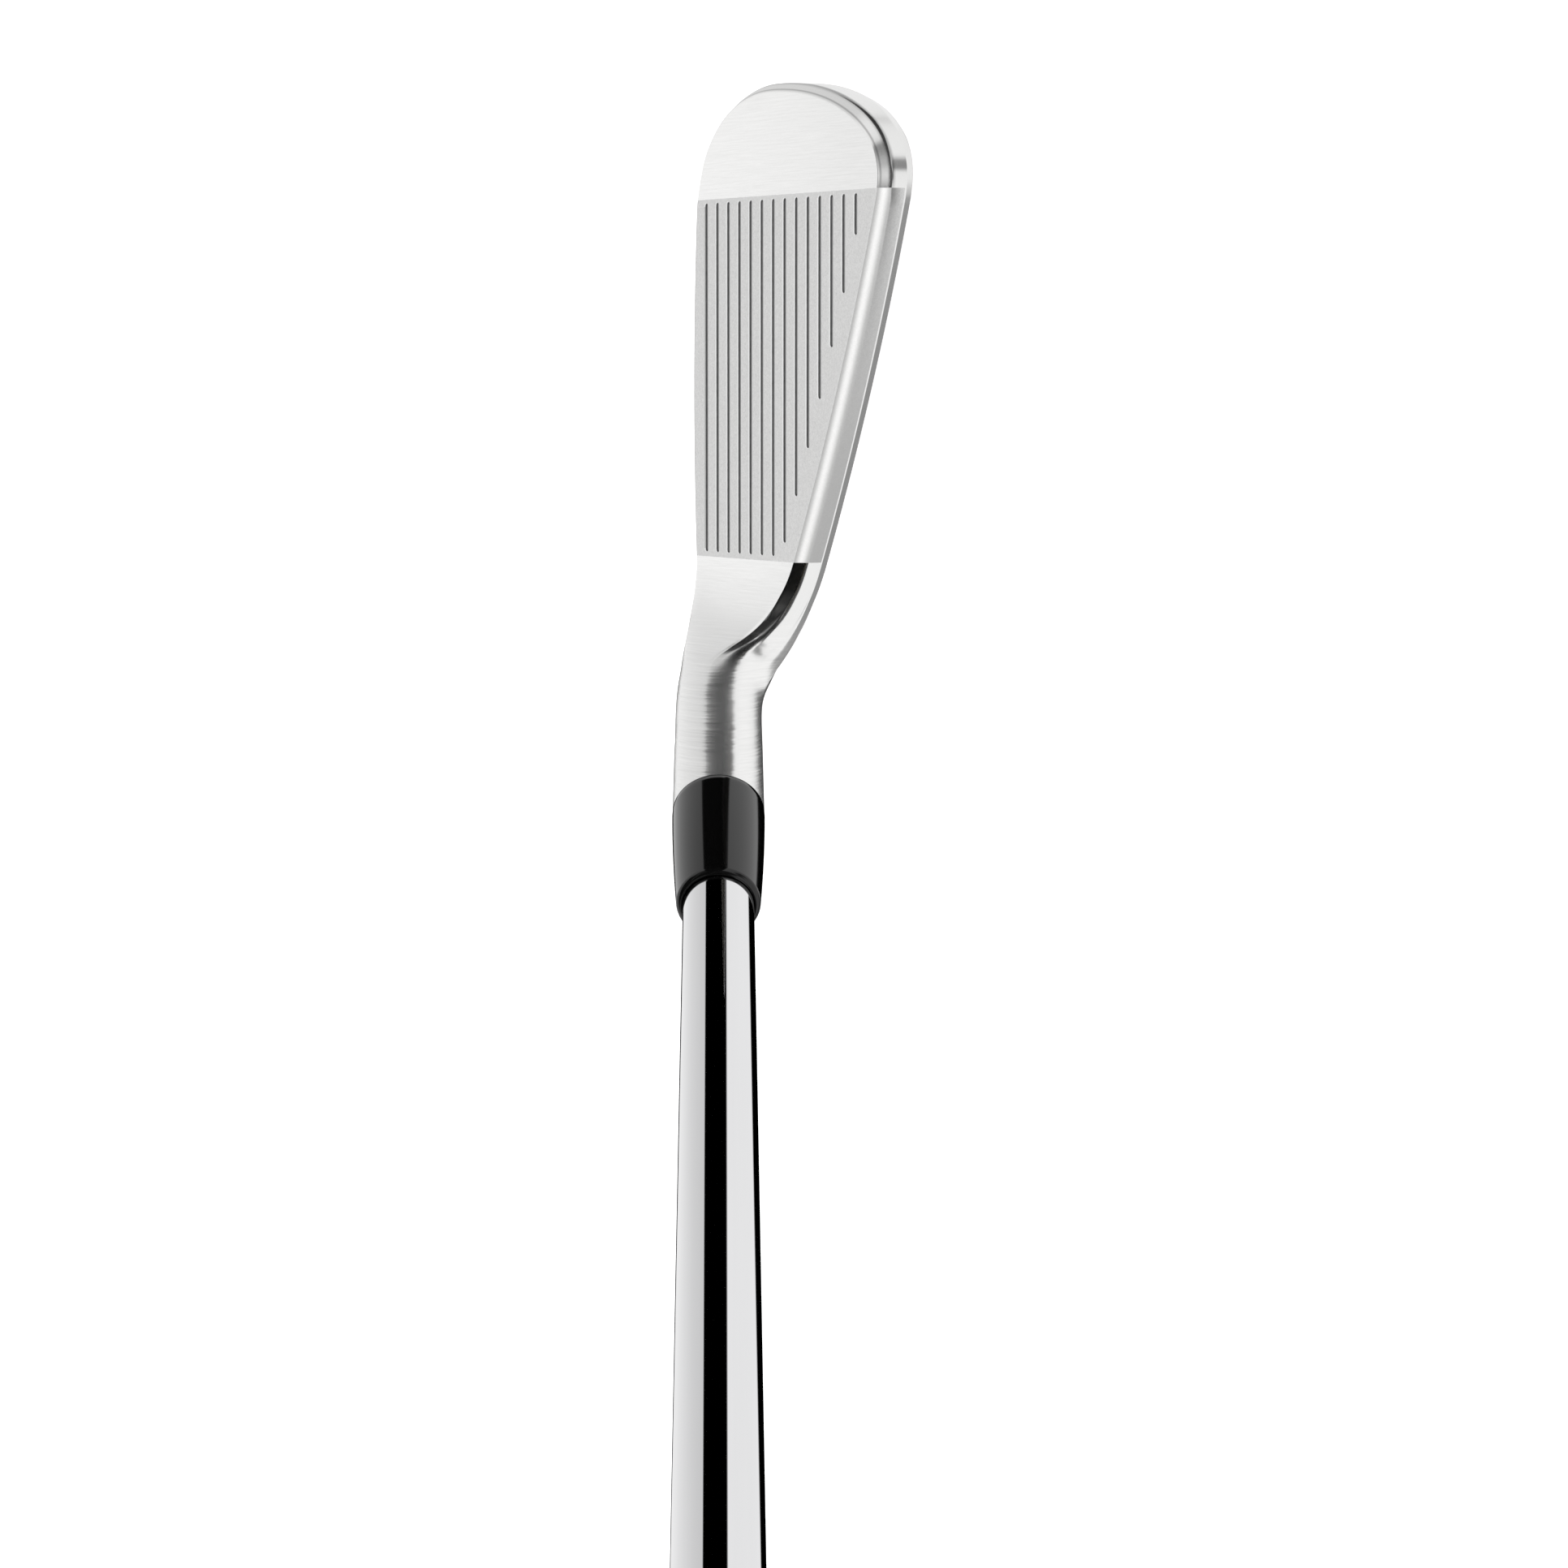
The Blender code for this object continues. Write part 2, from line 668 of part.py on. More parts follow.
stations = [SHAFT_BUTT - (SHAFT_BUTT - SHAFT_TIP) * k / 16 for k in range(17)]
outer = [(shaft_r(SHAFT_BUTT) - 0.25, SHAFT_BUTT), (shaft_r(SHAFT_BUTT), SHAFT_BUTT - 0.3)]
outer += [(shaft_r(s), s) for s in stations[1:-1]]
outer += [(shaft_r(SHAFT_TIP), SHAFT_TIP + 0.5), (shaft_r(SHAFT_TIP) - 0.4, SHAFT_TIP)]
inner = [(shaft_r(s) - shaft_wall(s), s) for s in reversed(stations)]
turned("shaft", outer + inner, M_SHAFT, 32)

turned("epoxy_sleeve", [(BORE_R - 0.16, HOSEL_TOP - 0.5), (BORE_R - 0.16, SHAFT_TIP - 0.5),
                        (BORE_R - 0.36, SHAFT_TIP - 0.5), (BORE_R - 0.36, HOSEL_TOP - 0.5)], M_EPOXY, 32)

PLUG_R = shaft_r(SHAFT_TIP) - shaft_wall(SHAFT_TIP) - 0.15
turned("tip_weight_plug", [(0.0, 53.0), (PLUG_R - 0.6, 53.0), (PLUG_R, 52.0), (PLUG_R, 34.2),
                           (4.40, 34.2), (4.40, 32.4), (4.1, 32.0), (0.0, 32.0)], M_BRASS, 24, closed=False)

f0 = HOSEL_TOP + 0.12
f1 = HOSEL_TOP + FERRULE_LENGTH
FERR = []
for k in range(6):
    a = math.radians(90 - 18 * k)
    FERR.append((FERRULE_R_TOP - 0.8 + 0.8 * math.cos(a), f1 - 0.8 + 0.8 * math.sin(a)))
for k in range(1, 8):
    t = k / 8
    r = FERRULE_R_TOP + (FERRULE_R_MID - FERRULE_R_TOP) * (1 - (1 - t) ** 1.8)
    FERR.append((r, f1 - 0.8 + (f0 + 0.3 - f1 + 0.8) * t))
FERR += [(FERRULE_R_LOW, f0 + 0.15), (FERRULE_R_LOW - 0.08, f0)]
FERR += [(BORE_R - 0.20, f0), (SHAFT_REF_D / 2 + 0.10, f1)]
turned("ferrule", FERR, M_FERRULE, 32)

tape_top, tape_low = SHAFT_BUTT - 0.5, GRIP_MOUTH + 8.0
turned("grip_tape", [(shaft_r(tape_top) + 0.30, tape_top), (shaft_r(tape_low) + 0.30, tape_low),
                     (shaft_r(tape_low) + 0.12, tape_low), (shaft_r(tape_top) + 0.12, tape_top)], M_TAPE, 32)


def grip_r(s):
    """Outer radius of the grip: a slow taper with a flare at the butt."""
    t = (s - GRIP_MOUTH) / (GRIP_TOP - GRIP_MOUTH)
    return 9.1 + 3.1 * t ** 0.9 + 1.15 * max(0.0, (t - 0.88) / 0.12) ** 2


gs = [GRIP_TOP - (GRIP_TOP - GRIP_MOUTH - 2.0) * k / 22 for k in range(23)]
grip = [(grip_r(s), s) for s in gs]
grip += [(8.9, GRIP_MOUTH + 0.6), (8.5, GRIP_MOUTH), (shaft_r(GRIP_MOUTH) + 0.45, GRIP_MOUTH)]
grip += [(shaft_r(GRIP_TOP) + 0.45, GRIP_TOP)]
turned("grip_sleeve", grip, M_GRIP, 32)

CR = grip_r(GRIP_TOP)
cap = [(1.7, CLUB_LENGTH)]
for k in range(5):
    a = math.radians(90 - 22.5 * k)
    cap.append((CR - 2.2 + 2.2 * math.cos(a), CLUB_LENGTH - 2.2 + 2.2 * math.sin(a)))
cap += [(CR, CAP_BOTTOM), (1.7, CAP_BOTTOM)]
turned("grip_cap", cap, M_CAP, 32)
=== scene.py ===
"""Looks for the iron golf club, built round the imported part.

The head is lofted again from the same rules as the solid, at a much finer
step, with rolled groove lips and a filleted back cavity. The pieces on the
shaft are turned round the shaft axis at a fine step. All lengths are in
millimetres until a mesh is made, then metres.
"""

import bpy
import bmesh
import math
from mathutils import Matrix, Vector
from mathutils.bvhtree import BVHTree


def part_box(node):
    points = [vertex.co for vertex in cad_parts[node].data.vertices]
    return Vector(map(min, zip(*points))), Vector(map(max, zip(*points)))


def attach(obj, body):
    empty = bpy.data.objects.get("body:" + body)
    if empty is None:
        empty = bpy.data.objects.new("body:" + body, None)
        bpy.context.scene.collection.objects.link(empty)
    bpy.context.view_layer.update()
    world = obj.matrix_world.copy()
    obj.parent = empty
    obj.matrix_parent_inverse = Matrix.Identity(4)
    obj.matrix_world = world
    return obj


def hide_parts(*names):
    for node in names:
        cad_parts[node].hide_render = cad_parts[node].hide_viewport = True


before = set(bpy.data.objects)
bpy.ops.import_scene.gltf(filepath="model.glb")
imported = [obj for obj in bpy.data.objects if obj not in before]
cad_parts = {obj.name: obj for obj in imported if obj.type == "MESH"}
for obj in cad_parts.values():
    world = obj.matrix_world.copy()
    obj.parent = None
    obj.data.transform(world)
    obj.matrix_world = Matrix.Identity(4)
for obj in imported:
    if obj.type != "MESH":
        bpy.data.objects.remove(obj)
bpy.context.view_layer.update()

# ------------------------------------------------------------ driving sizes
LIE = math.radians(62.0)        # shaft to ground, seen from the front
LOFT = math.radians(27.0)       # face to the shaft plane
CLUB_LENGTH = 965.0             # 38 in along the shaft, ground to butt cap
HAND_FROM_BUTT = 100.0          # middle of the hands below the butt cap

# face and blade outline
FACE_X = -1.80                  # lowest score line: distance behind the shaft
FACE_Z = 4.50                   #   axis, and height above the axis' ground point
HEEL_W = 5.25                   # heel end of the flat face
TOE_W = 57.0                    # where the toe curve begins
TIP_W = 72.80                   # farthest point of the flat face
TIP_H = 20.0
TOP_HEEL_H = 27.6               # top edge of the face at HEEL_W
TOP_SLOPE = 0.575
TOP_CROWN = 0.00195
LOW_MID_H = -3.66               # bottom edge of the flat face, mid blade
LOW_MID_W = 29.5
LOW_ROCKER = 0.0014
# toe curve: (share of the way back from the tip, upper h, lower h)
TOE_CURVE = (
    (0.00, 20.0, 20.0),
    (0.24, 31.6, 12.3),
    (0.42, 39.7, 7.0),
    (0.60, 46.6, 2.7),
    (0.76, 51.0, -0.3),
    (0.88, 52.5, -1.65),
)

# score lines
LINE_COUNT = 14
LINE_PITCH = 3.556
LINE_WIDTH = 0.90
LINE_DEPTH = 0.45
LINE_TOE_W = 57.5
LINE_HEEL_W = 6.0
LINE_MARGIN = 4.3               # stays about this far below the top edge
LINE_BOW = (0.455, 0.105)       # the ends of the upper lines lie on a slight bow

# rim of the blade, seen across its edge: corner points (outward, depth) and
# corner radii, for the top line, the toe tip and the sole
RIM_TOP = ((0.10, 0.0), (1.50, 1.50), (1.50, 3.90), (1.05, 5.10), (-1.5, 5.25))
RIM_TOP_R = (0.30, 0.80, 0.30, 0.40)
RIM_TIP = ((0.10, 0.0), (1.35, 1.40), (1.40, 5.80), (0.40, 8.20), (-2.4, 9.00))
RIM_TIP_R = (0.35, 0.90, 2.60, 1.20)
RIM_SOLE = ((0.764, 0.0), (1.591, 1.285), (-0.73, 6.36), (-7.60, 17.10), (-14.0, 13.2))
RIM_SOLE_R = (1.35, 1.35, 8.0, 2.2)
SOLE_RUN_OUT = 1.35             # share from the tip where the sole is full width

# hosel and bore
HOSEL_START = 34.0              # distances up the shaft axis
HOSEL_TOP = 61.2
HOSEL_R_LOW = 6.22
HOSEL_R_TOP = 6.42
BORE_R = 5.25
BORE_BOTTOM = 31.5

# shaft
SHAFT_TIP = 34.5
SHAFT_BUTT = 959.5
SHAFT_REF = 83.2                # top of the ferrule
SHAFT_REF_D = 9.70
SHAFT_TAPER = 0.0095
SHAFT_TAPER_2 = 3.6e-6
WALL_TIP = 1.00
WALL_BUTT = 0.42

FERRULE_LENGTH = 22.8
FERRULE_R_LOW = 6.43
FERRULE_R_MID = 6.46
FERRULE_R_TOP = 5.78

GRIP_MOUTH = 698.5
GRIP_TOP = 959.7
CAP_BOTTOM = 960.0

# cavity in the back of the blade
FACE_THICK = 3.0
POCKET_RIM = 5.6                # land between the cavity and the face outline
POCKET_HEEL_W = 13.5
POCKET_LOW_H = 15.5             # lower edge at the heel end
POCKET_LOW_SLOPE = 0.035        # it climbs a little towards the toe
POCKET_CORNER = 5.0

MM = 0.001
SL, CL = math.sin(LOFT), math.cos(LOFT)
GROUND = Vector((-(CLUB_LENGTH - HAND_FROM_BUTT) * math.cos(LIE), 0.0,
                 -(CLUB_LENGTH - HAND_FROM_BUTT) * math.sin(LIE)))
AXIS = Vector((math.cos(LIE), 0.0, math.sin(LIE)))


# ---------------------------------------------------------------- geometry
def place(x_behind, w_toe, z_up):
    """Millimetres about the shaft's ground point, in the part's frame."""
    return Vector((GROUND.x - w_toe, x_behind, GROUND.z + z_up))


def on_face(w, h, d=0.0):
    return place(FACE_X + h * SL + d * CL, w, FACE_Z + h * CL - d * SL)


def depth_behind_face(co):
    """Depth in millimetres of a point given in metres."""
    p = co / MM - on_face(0.0, 0.0)
    return p.y * CL - p.z * SL


def spline(xs, ys, x):
    """Cubic through the points, slopes from the neighbours."""
    n = len(xs)
    k = 0
    while k < n - 2 and x > xs[k + 1]:
        k += 1

    def slope(i):
        if i == 0:
            return (ys[1] - ys[0]) / (xs[1] - xs[0])
        if i == n - 1:
            return (ys[-1] - ys[-2]) / (xs[-1] - xs[-2])
        a = (ys[i] - ys[i - 1]) / (xs[i] - xs[i - 1])
        b = (ys[i + 1] - ys[i]) / (xs[i + 1] - xs[i])
        wa, wb = xs[i + 1] - xs[i], xs[i] - xs[i - 1]
        return (a * wa + b * wb) / (wa + wb)
    dx = xs[k + 1] - xs[k]
    t = (x - xs[k]) / dx
    return ((2 * t ** 3 - 3 * t ** 2 + 1) * ys[k] + (t ** 3 - 2 * t ** 2 + t) * dx * slope(k)
            + (-2 * t ** 3 + 3 * t ** 2) * ys[k + 1] + (t ** 3 - t ** 2) * dx * slope(k + 1))


def top_h(w):
    return TOP_HEEL_H + TOP_SLOPE * (w - HEEL_W) - TOP_CROWN * (w - HEEL_W) ** 2


def low_h(w):
    return LOW_MID_H + LOW_ROCKER * (w - LOW_MID_W) ** 2


def back_share(w):
    """0 at the tip of the toe, 1 at TOE_W and beyond."""
    return math.sqrt(max(0.0, (TIP_W - w) / (TIP_W - TOE_W)))


def outline(q):
    """Face edge at share q back from the tip: (w, upper h, lower h)."""
    w = TIP_W - (TIP_W - TOE_W) * q * q
    if q >= 1.0:
        return w, top_h(w), low_h(w)
    qs = [c[0] for c in TOE_CURVE]
    up = [c[1] for c in TOE_CURVE]
    lo = [c[2] for c in TOE_CURVE]
    # two points of the straight blade carry the curve on smoothly
    for qq in (1.0, 1.12):
        ww = TIP_W - (TIP_W - TOE_W) * qq * qq
        qs.append(qq)
        up.append(top_h(ww))
        lo.append(low_h(ww))
    # mirrored start gives an upright tangent at the tip
    qs = [-qs[1]] + qs
    up = [lo[1]] + up
    lo = [up[2]] + lo
    return w, spline(qs, up, q), spline(qs, lo, q)


def rounded(corners, radii, start, per_arc, per_run):
    """Open polyline with its corners replaced by arcs."""
    pts = [Vector(start)]
    cs = [Vector(c) for c in corners]
    prev_end = Vector(start)
    for i, r in enumerate(radii):
        c = cs[i]
        before = (Vector(start) if i == 0 else cs[i - 1])
        u = (c - before).normalized()
        v = (cs[i + 1] - c).normalized()
        turn = math.atan2(u.x * v.y - u.y * v.x, u.dot(v))
        cut = min(r * abs(math.tan(turn / 2)), 0.49 * (c - before).length,
                  0.49 * (cs[i + 1] - c).length)
        a, b = c - u * cut, c + v * cut
        for k in range(1, per_run[i]):
            pts.append(prev_end.lerp(a, k / per_run[i]))
        for k in range(per_arc[i] + 1):
            t = k / per_arc[i]
            # quadratic through the corner stands in for the arc
            pts.append(a * (1 - t) ** 2 + c * 2 * t * (1 - t) + b * t ** 2)
        prev_end = b
    last = cs[len(radii)]
    n = per_run[len(radii)]
    for k in range(1, n + 1):
        pts.append(prev_end.lerp(last, k / n))
    return pts


def mix(a, b, t):
    return [Vector(x).lerp(Vector(y), t) for x, y in zip(a, b)]


def mixr(a, b, t):
    return [x + (y - x) * t for x, y in zip(a, b)]


def smooth(t):
    t = min(1.0, max(0.0, t))
    return t * t * (3 - 2 * t)


def rim(q, upper, res):
    """Rim profile at share q back from the tip."""
    if upper:
        t = smooth(q / 1.0)
        c, r = mix(RIM_TIP, RIM_TOP, t), mixr(RIM_TIP_R, RIM_TOP_R, t)
    else:
        # the leading edge is formed early, the wide back of the sole later
        t, tb = smooth(q / 1.15), smooth(q / SOLE_RUN_OUT)
        c = mix(RIM_TIP[:3], RIM_SOLE[:3], t) + mix(RIM_TIP[3:], RIM_SOLE[3:], tb)
        r = mixr(RIM_TIP_R, RIM_SOLE_R, t)
    return rounded(c, r, (-0.6, 0.0), res["arc"], res["run"])


def blade_section(q, res):
    """Closed loop of points across the blade, starting at the foot of the
    face, up the face, over the top line, down the back and round the sole."""
    w, hu, hl = outline(q)
    e = 1e-3
    w1, hu1, hl1 = outline(q + e)
    w0, hu0, hl0 = outline(max(0.0, q - e))
    if q <= e:
        nu = nl = Vector((1.0, 0.0))
    else:
        tu = Vector((w0 - w1, hu0 - hu1))
        tl = Vector((w0 - w1, hl0 - hl1))
        nu = Vector((-tu.y, tu.x)).normalized()
        nl = Vector((tl.y, -tl.x)).normalized()
    up = [(w + nu.x * p.x, hu + nu.y * p.x, p.y) for p in rim(q, True, res)]
    lo = [(w + nl.x * p.x, hl + nl.y * p.x, p.y) for p in rim(q, False, res)]
    n = res["face"]
    face = [tuple(lo[0][i] + (up[0][i] - lo[0][i]) * k / n for i in range(3)) for k in range(1, n)]
    n = res["back"]
    a, b = Vector(up[-1]), Vector(lo[-1])
    ta = (Vector(up[-1]) - Vector(up[-2])).normalized()
    tb = (Vector(lo[-2]) - Vector(lo[-1])).normalized()
    span = (b - a).length
    back = []
    for k in range(1, n):
        t = k / n
        back.append(tuple((2 * t ** 3 - 3 * t ** 2 + 1) * a + (t ** 3 - 2 * t ** 2 + t) * span * ta
                          + (-2 * t ** 3 + 3 * t ** 2) * b + (t ** 3 - t ** 2) * span * tb))
    loop = [lo[0]] + face + up + back + lo[:0:-1]
    return [on_face(*p) for p in loop]


def hosel_r(s):
    return HOSEL_R_LOW + (HOSEL_R_TOP - HOSEL_R_LOW) * (s - HOSEL_START) / (HOSEL_TOP - HOSEL_START)


def about_axis(s, r, phi):
    """Point at angle phi about the shaft axis; 0 is the toe side, 90 the back."""
    m = Vector((-math.sin(LIE), 0.0, math.cos(LIE)))
    return GROUND + AXIS * s + m * (r * math.cos(phi)) + Vector((0, 1, 0)) * (r * math.sin(phi))


# where each corner of the blade section lands on the hosel: angle about the
# shaft axis, and how far the neck surface runs on along the blade and along
# the hosel before it turns
NECK_FACE_LOW = (-104.0, 0.55, 1.90)
NECK_FACE_TOP = (-20.0, 2.30, 1.40)
NECK_RIM_TOP = ((-14.0, 2.30, 1.38), (20.0, 2.31, 1.35), (62.0, 2.32, 1.30), (84.0, 2.34, 1.24), (98.0, 2.35, 1.20))
NECK_BACK_LOW = (152.0, 0.80, 1.00)
NECK_RIM_SOLE = ((166.0, 0.80, 1.05), (186.0, 0.78, 1.15), (212.0, 0.70, 1.35), (240.0, 0.60, 1.70), (256.0, 0.55, 1.90))


NECK_EASE = 0.15                # share of the neck over which each bend is eased


def neck_marks(res):
    """Angle and run-on lengths for each point of a section, sections being
    counted foot of face, face, top rim, back, sole rim."""
    nf, nb = res["face"], res["back"]
    arc, run = res["arc"], res["run"]
    parts = (run[0] + arc[0], run[1] + arc[1], run[2] + arc[2], run[3] + arc[3], run[4])
    marks = [(0, NECK_FACE_LOW), (nf, NECK_FACE_TOP)]
    k = nf
    for part, m in zip(parts, NECK_RIM_TOP):
        k += part
        marks.append((k, m))
    k += nb
    marks.append((k, NECK_BACK_LOW))
    for part, m in zip(reversed(parts), NECK_RIM_SOLE):
        k += part
        marks.append((k, m))
    xs = [m[0] for m in marks]
    cols = [[m[1][c] for m in marks] for c in range(3)]
    return [tuple(spline(xs, col, i) for col in cols) for i in range(k)]


def ring_angles(res):
    return [math.radians(m[0]) for m in neck_marks(res)]


def neck_line(a, ta, b, tb, t):
    """Curve from a to b with end tangents ta and tb, straight beyond b."""
    if t > 1:
        return b + tb * (t - 1)
    return ((2 * t ** 3 - 3 * t ** 2 + 1) * a + (t ** 3 - 2 * t ** 2 + t) * ta
            + (-2 * t ** 3 + 3 * t ** 2) * b + (t ** 3 - t ** 2) * tb)


def eased(a, ta, b, tb, t):
    """The neck line averaged over a short run, so that it flows into the hosel."""
    half = min(NECK_EASE, t)
    total = Vector((0, 0, 0))
    weights = 0.0
    for k in range(-6, 7):
        w = 1 - (k / 7) ** 2
        total += neck_line(a, ta, b, tb, t + half * k / 6) * w
        weights += w
    return total / weights


def head_rings(res):
    """Rings of points from the top of the hosel to the toe."""
    rings = []
    angles = ring_angles(res)
    heel_q = back_share(HEEL_W)
    first = blade_section(heel_q, res)
    ahead = blade_section(back_share(HEEL_W + 0.5), res)
    n = len(first)
    # hosel, top down
    for s in res["hosel"]:
        rings.append([about_axis(s, hosel_r(s), angles[i]) for i in range(n)])
    # neck
    marks = neck_marks(res)
    steps = res["neck"]
    for k in range(steps):
        t = (1 + NECK_EASE) * (1 - k / steps)
        ring = []
        for i in range(n):
            a = first[i]
            b = about_axis(HOSEL_START, HOSEL_R_LOW, angles[i])
            span = (b - a).length
            ta = (first[i] - ahead[i]).normalized() * span * marks[i][1]
            ring.append(eased(a, ta, b, AXIS * span * marks[i][2], t))
        rings.append(ring)
    rings.append(first)
    for w in res["blade"]:
        rings.append(blade_section(back_share(w), res))
    for k in range(1, res["toe"]):
        rings.append(blade_section(1.0 - k / res["toe"], res))
    rings.append(blade_section(0.0, res))
    return rings


CAD = {"face": 6, "back": 6, "arc": (1, 2, 2, 2), "run": (1, 1, 2, 1, 1),
       "hosel": (HOSEL_TOP, 54.0, 47.0), "neck": 10,
       "blade": (11.0, 17.0, 23.0, 29.0, 35.0, 41.0, 47.0, 52.0, 57.0), "toe": 9}


def head_mesh(res):
    rings = head_rings(res)
    bm = bmesh.new()
    n = len(rings[0])
    nf, nb = res["face"], res["back"]
    nr = n - nf - nb            # both rims together
    half = nr // 2
    loops = [[bm.verts.new(p * MM) for p in ring] for ring in rings[:-1]]
    # the last ring folds shut: upper and lower rims meet, point by point
    tip_ring = rings[-1]
    tip = [None] * n
    rim_v = [bm.verts.new(tip_ring[nf + k] * MM) for k in range(half + 1)]
    for k in range(half + 1):
        tip[nf + k] = rim_v[k]
        tip[(n - k) % n] = rim_v[k]
    for k in range(1, nf):
        tip[k] = rim_v[0]
    for k in range(1, nb):
        tip[nf + half + k] = rim_v[half]
    loops.append(tip)
    for a, b in zip(loops, loops[1:]):
        for i in range(n):
            j = (i + 1) % n
            quad = []
            for v in (a[i], a[j], b[j], b[i]):
                if v not in quad:
                    quad.append(v)
            if len(quad) >= 3:
                bm.faces.new(quad)
    # hosel top and the blind bore
    angles = ring_angles(res)
    bore = [[bm.verts.new(about_axis(s, r, angles[i]) * MM) for i in range(n)]
            for s, r in ((HOSEL_TOP, BORE_R + 0.25), (HOSEL_TOP - 0.25, BORE_R), (BORE_BOTTOM, BORE_R))]
    chain = [loops[0]] + bore
    for a, b in zip(chain, chain[1:]):
        for i in range(n):
            j = (i + 1) % n
            bm.faces.new((a[i], b[i], b[j], a[j]))
    bm.faces.new(list(reversed(bore[-1])))
    # the flat of the face becomes one polygon
    flat = []
    for f in bm.faces:
        if all(abs(depth_behind_face(v.co)) < 1e-4 for v in f.verts):
            flat.append(f)
    bmesh.ops.dissolve_faces(bm, faces=flat, use_verts=False)
    bmesh.ops.recalc_face_normals(bm, faces=bm.faces[:])
    return bm


def line_heel(i):
    """Heel end of score line i: the lower ones are full length, the upper
    ones stop short of the top line."""
    h = i * LINE_PITCH
    w = LINE_HEEL_W
    while top_h(w) - h < LINE_MARGIN and w < LINE_TOE_W - 1.0:
        w += 0.05
    x = max(0, i - 7)
    return w + LINE_BOW[0] * x - LINE_BOW[1] * x * x


def round_corner(pts, i, radius, steps=6):
    """Replace corner i of a closed polygon by a curve that starts and ends
    radius away from it, measured along the polygon."""
    n = len(pts)
    c = Vector(pts[i])

    def walk(step):
        left, k, here = radius, i, c
        used = 0
        while True:
            nxt = Vector(pts[(k + step) % n])
            d = (nxt - here).length
            if d >= left:
                return here.lerp(nxt, left / d), used
            left -= d
            here, k, used = nxt, k + step, used + 1
    a, na = walk(-1)
    b, nb = walk(1)
    arc = []
    for m in range(steps + 1):
        t = m / steps
        p = a * (1 - t) ** 2 + c * 2 * t * (1 - t) + b * t ** 2
        arc.append((p.x, p.y))
    keep = [pts[(i + 1 + nb + m) % n] for m in range(n - 1 - na - nb)]
    return keep, arc


def pocket_low(w):
    return POCKET_LOW_H + POCKET_LOW_SLOPE * (w - POCKET_HEEL_W)


def pocket_outline(inset):
    """Outline of the back cavity, (w, h), shrunk by inset: it keeps a land of
    even width to the top line and the toe, and runs straight below."""
    gap = POCKET_RIM + inset
    w_heel = POCKET_HEEL_W + inset
    edge = []
    for k in range(9):
        w = w_heel + 1.0 + (TOE_W - 1.0 - w_heel) * k / 8
        slope = TOP_SLOPE - 2 * TOP_CROWN * (w - HEEL_W)
        nx, ny = Vector((-slope, 1.0)).normalized()
        edge.append((w - nx * gap, top_h(w) - ny * gap))
    for k in range(1, 14):
        q = 1.0 - 0.085 * k
        w, hu, hl = outline(abs(q))
        h = hu if q > 0 else hl
        w1, hu1, hl1 = outline(abs(q) + 0.002)
        h1 = hu1 if q > 0 else hl1
        tx, ty = Vector((w1 - w, h1 - h)).normalized()
        nx, ny = (ty, -tx) if q > 0 else (-ty, tx)
        p = (w - abs(nx) * gap, h - ny * gap)
        if p[1] < pocket_low(p[0]) + inset:
            break
        # the corner of the toe is tighter than the land is wide: skip the fold
        if q < 0 or p[0] > edge[-1][0] + 0.5:
            edge.append(p)
    a, b = Vector(edge[-2]), Vector(edge[-1])
    t = (b.y - (pocket_low(b.x) + inset)) / max(1e-6, (a.y - b.y))
    toe_low = b + (b - a) * t
    pts = edge + [(toe_low.x, toe_low.y), (w_heel, pocket_low(w_heel) + inset)]
    pts[0] = (w_heel, pts[0][1] + (pts[0][1] - pts[1][1]) / (pts[0][0] - pts[1][0]) * (w_heel - pts[0][0]))
    r = POCKET_CORNER - 0.4 * inset
    # corners: toe low, heel low, heel top
    n = len(pts)
    keep, arc1 = round_corner(pts, n - 2, r)
    pts = arc1 + keep
    i = min(range(len(pts)), key=lambda k: pts[k][0] + pts[k][1])
    keep, arc2 = round_corner(pts, i, r)
    pts = arc2 + keep
    i = min(range(len(pts)), key=lambda k: 2.0 * pts[k][0] - pts[k][1])
    keep, arc3 = round_corner(pts, i, r * 0.9)
    pts = arc3 + keep
    i = max(range(len(pts)), key=lambda k: pts[k][1])
    keep, arc4 = round_corner(pts, i, r * 0.8)
    return arc4 + keep


# ------------------------------------------------------------- fine meshes
LOOK = {"face": 12, "back": 22, "arc": (6, 9, 8, 8), "run": (2, 4, 9, 9, 4),
        "hosel": tuple(HOSEL_TOP - (HOSEL_TOP - 45.0) * k / 8 for k in range(9)),
        "neck": 46,
        "blade": tuple(HEEL_W + (TOE_W - HEEL_W) * k / 42 for k in range(1, 43)),
        "toe": 56}


def finish_mesh(name, bm, mats, sharp_deg=35.0):
    me = bpy.data.meshes.new(name)
    bm.to_mesh(me)
    bm.free()
    me.shade_smooth()
    me.set_sharp_from_angle(angle=math.radians(sharp_deg))
    ob = bpy.data.objects.new(name, me)
    bpy.context.scene.collection.objects.link(ob)
    for m in mats:
        me.materials.append(m)
    return ob


def show(ob, slot, *nodes):
    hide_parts(*nodes)
    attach(ob, "root")
    return ob


def strip(bm, a, b):
    n = len(a)
    for i in range(n):
        j = (i + 1) % n
        bm.faces.new((a[i], b[i], b[j], a[j]))


